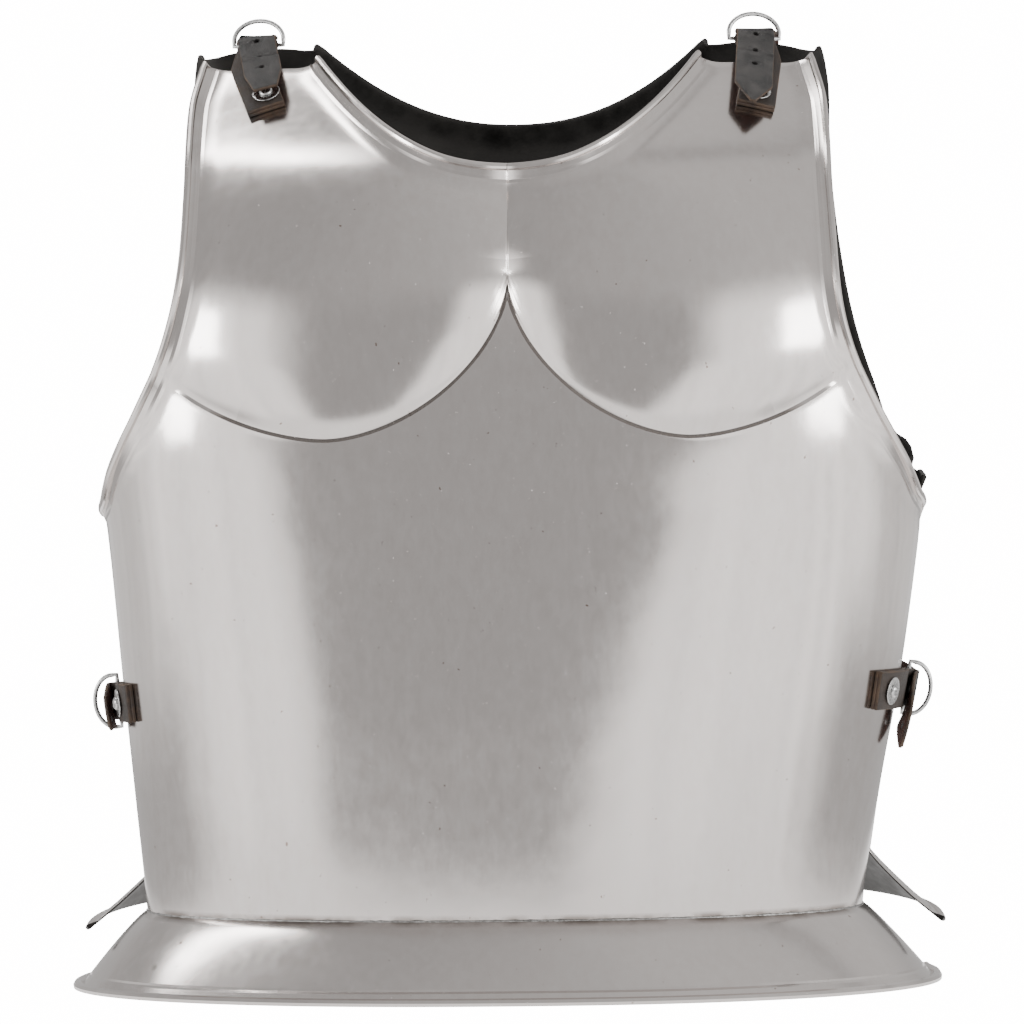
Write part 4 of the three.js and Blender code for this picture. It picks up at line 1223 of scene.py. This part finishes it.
def path_object(name, lines, closed):
    """Edges along each line, for a tree to sweep a profile along."""
    points, edges = [], []
    for line in lines:
        first = len(points)
        points.extend(to_frame(line).tolist())
        edges.extend((k, k + 1) for k in range(first, len(points) - 1))
        if closed:
            edges.append((len(points) - 1, first))
    mesh = bpy.data.meshes.new(name)
    mesh.from_pydata(points, edges, [])
    return add_object(name, mesh)


# ---- The stage ----
def area_light(name, at, towards, width, height, power):
    light = bpy.data.lights.new(name, "AREA")
    light.shape = "RECTANGLE"
    light.size, light.size_y = width, height
    light.energy = power
    obj = bpy.data.objects.new(name, light)
    bpy.context.scene.collection.objects.link(obj)
    obj.location = at
    obj.rotation_euler = (Vector(towards) - Vector(at)).to_track_quat("-Z", "Y").to_euler()


def seen_or(tree, look, strength):
    """The backdrop's own brightness where it is seen directly, and the strength given in reflections."""
    seen = node(tree, "ShaderNodeLightPath").outputs["Is Camera Ray"]
    return between(tree, seen, 0, 1, strength, look.backdrop)


def azimuth(tree, parts):
    """The turn round the object in radians: 0 towards the front, and positive towards +X."""
    return combine(tree, "ARCTAN2", parts.outputs[0], times(tree, parts.outputs[1], -1))


def streaks(tree, turn):
    """Slow uneven brightness round the object, as of cloth hung round it, and dimmer behind it."""
    cloth = {"W": times(tree, turn, 2.6), "Detail": 2.0}
    noise = node(tree, "ShaderNodeTexNoise", cloth, noise_dimensions="1D")
    folds = between(tree, noise.outputs[0], 0.3, 0.7, 0.8, 1.15)
    behind = between(tree, magnitude(tree, turn), math.radians(84), math.radians(104), 1.2, 0.66)
    return times(tree, folds, behind)


def strip_light(tree, parts, look):
    """A narrow strip of light on the ceiling that bends back at its ends, brightest to the left."""
    across = combine(tree, "DIVIDE", parts.outputs[0], parts.outputs[2])
    along = combine(tree, "DIVIDE", parts.outputs[1], parts.outputs[2])
    away = minus(tree, along, plus(tree, times(tree, magnitude(tree, across), 0.34), 0.035))
    strip = times(tree, between(tree, away, -0.11, -0.05), between(tree, away, 0.1, 0.04))
    left = between(tree, across, -0.08, -0.3, 0.55, look.strip)
    return strip, between(tree, across, -0.85, -1.0, left, 0.6)


def floor_material(look):
    """A pale floor, plain where it is seen directly, with a dimmer wedge in front in reflections."""
    material, tree, shader = new_material("pale floor")
    place = node(tree, "ShaderNodeTexCoord").outputs["Object"]
    parts = node(tree, "ShaderNodeSeparateXYZ", {0: place})
    x, y = parts.outputs[0], parts.outputs[1]
    beside = magnitude(tree, x)
    ahead = combine(tree, "MAXIMUM", times(tree, y, -1), 0.05)
    left = plus(tree, x, times(tree, ahead, look.wedge_left))
    right = minus(tree, times(tree, minus(tree, ahead, 0.3), look.wedge_right), x)
    share = combine(tree, "DIVIDE", combine(tree, "MINIMUM", left, right), ahead)
    bright = times(tree, look.tent, streaks(tree, azimuth(tree, parts)))
    behind = times(tree, between(tree, beside, 1.2, 0.8), between(tree, y, -0.3, -0.1))
    sides = between(tree, behind, 0, 1, bright, look.rear)
    front = between(tree, share, -0.04, 0.06, sides, look.room)
    foot = between(tree, combine(tree, "MAXIMUM", ahead, beside), 0.36, 0.43, look.tent, front)
    shader.inputs["Base Color"].default_value = (0, 0, 0, 1)
    shader.inputs["Specular IOR Level"].default_value = 0
    shader.inputs["Emission Color"].default_value = WARM_WHITE
    link(tree, seen_or(tree, look, foot), shader.inputs["Emission Strength"])
    return material


def studio_world(look):
    """A room with bright low sides, a dim front and a ceiling, plain white where it is seen directly."""
    world = bpy.data.worlds.new("studio")
    world.use_nodes = True
    tree = world.node_tree
    place = node(tree, "ShaderNodeTexCoord")
    parts = node(tree, "ShaderNodeSeparateXYZ", {0: place.outputs["Generated"]})
    turn = azimuth(tree, parts)
    left = between(tree, turn, math.radians(-28), math.radians(-42))
    right = between(tree, turn, math.radians(20), math.radians(34))
    bright = times(tree, look.tent, streaks(tree, turn))
    low = between(tree, combine(tree, "MAXIMUM", left, right), 0, 1, look.room, bright)
    away = between(tree, magnitude(tree, turn), math.radians(105), math.radians(130))
    low = between(tree, away, 0, 1, low, look.rear)
    high = between(tree, turn, math.radians(-40), math.radians(50), look.ceiling, look.ceiling * 1.5)
    strip, light = strip_light(tree, parts, look)
    high = between(tree, strip, 0, 1, high, light)
    shade = tree.nodes["Background"]
    shade.inputs["Color"].default_value = WARM_WHITE
    room = between(tree, parts.outputs[2], 0.3, 0.5, low, high)
    link(tree, seen_or(tree, look, room), shade.inputs["Strength"])
    return world


def add_camera():
    camera = bpy.data.objects.new("camera", bpy.data.cameras.new("camera"))
    bpy.context.scene.collection.objects.link(camera)
    camera.data.lens = CAMERA_LENS
    camera.data.sensor_width = 36
    camera.data.clip_end = 50
    turn = math.radians(CAMERA_TURN)
    back = Vector((math.sin(turn), -math.cos(turn), 0))
    camera.location = Vector(to_frame(CAMERA_TARGET)) + back * CAMERA_DISTANCE
    roll = Quaternion((0, 0, 1), math.radians(CAMERA_ROLL))
    camera.rotation_euler = ((-back).to_track_quat("-Z", "Y") @ roll).to_euler()
    return camera


class CUIRASS_OT_stage(CuirassOperator, bpy.types.Operator):
    """Set up the floor, the studio lights and the camera"""

    bl_idname = "cuirass.stage"
    bl_label = "Stage"

    def execute(self, context):
        look = context.scene.cuirass_stage
        context.scene.camera = add_camera()
        corners = [(x * FLOOR_REACH, y * FLOOR_REACH, 0) for x, y in ((-1, -1), (1, -1), (1, 1), (-1, 1))]
        floor = bpy.data.meshes.new("floor")
        floor.from_pydata(corners, [], [(0, 1, 2, 3)])
        obj = add_object("floor", floor, floor_material(look))
        middle = (0, 0, 0.25)
        area_light("left softbox", (-1.85, -0.75, 0.62), middle, 0.5, 0.55, look.sides)
        area_light("right softbox", (1.75, -0.9, 0.6), middle, 0.6, 0.5, look.sides)
        context.scene.world = studio_world(look)
        return {"FINISHED"}


class CUIRASS_PT_pieces(bpy.types.Panel):
    """The pieces of the cuirass, in the order they are made"""

    bl_label = "Steel Cuirass"
    bl_idname = "CUIRASS_PT_pieces"
    bl_space_type = "VIEW_3D"
    bl_region_type = "UI"
    bl_category = "Cuirass"

    def draw(self, context):
        for group, operators in (
            ("cuirass_steel", ("cuirass.plates", "cuirass.welds")),
            ("cuirass_leather", ("cuirass.leather",)),
            ("cuirass_hardware", ("cuirass.rings", "cuirass.rivets", "cuirass.washers")),
            ("cuirass_stage", ("cuirass.stage",)),
        ):
            box = self.layout.box()
            for name in SETTINGS[group].__annotations__:
                box.prop(getattr(context.scene, group), name)
            for operator in operators:
                box.operator(operator)


SETTINGS = {
    "cuirass_steel": CuirassSteelSettings,
    "cuirass_leather": CuirassLeatherSettings,
    "cuirass_hardware": CuirassHardwareSettings,
    "cuirass_stage": CuirassStageSettings,
}
OPERATORS = (
    CUIRASS_OT_plates,
    CUIRASS_OT_welds,
    CUIRASS_OT_leather,
    CUIRASS_OT_rings,
    CUIRASS_OT_rivets,
    CUIRASS_OT_washers,
    CUIRASS_OT_stage,
)


def register():
    for group in SETTINGS.values():
        bpy.utils.register_class(group)
    for operator in OPERATORS:
        bpy.utils.register_class(operator)
    bpy.utils.register_class(CUIRASS_PT_pieces)
    for name, group in SETTINGS.items():
        setattr(bpy.types.Scene, name, PointerProperty(type=group))


def unregister():
    for name in SETTINGS:
        delattr(bpy.types.Scene, name)
    bpy.utils.unregister_class(CUIRASS_PT_pieces)
    for operator in reversed(OPERATORS):
        bpy.utils.unregister_class(operator)
    for group in reversed(SETTINGS.values()):
        bpy.utils.unregister_class(group)


def main():
    register()
    for operator in OPERATORS:
        category, name = operator.bl_idname.split(".")
        getattr(getattr(bpy.ops, category), name)()


if __name__ == "__main__":
    main()
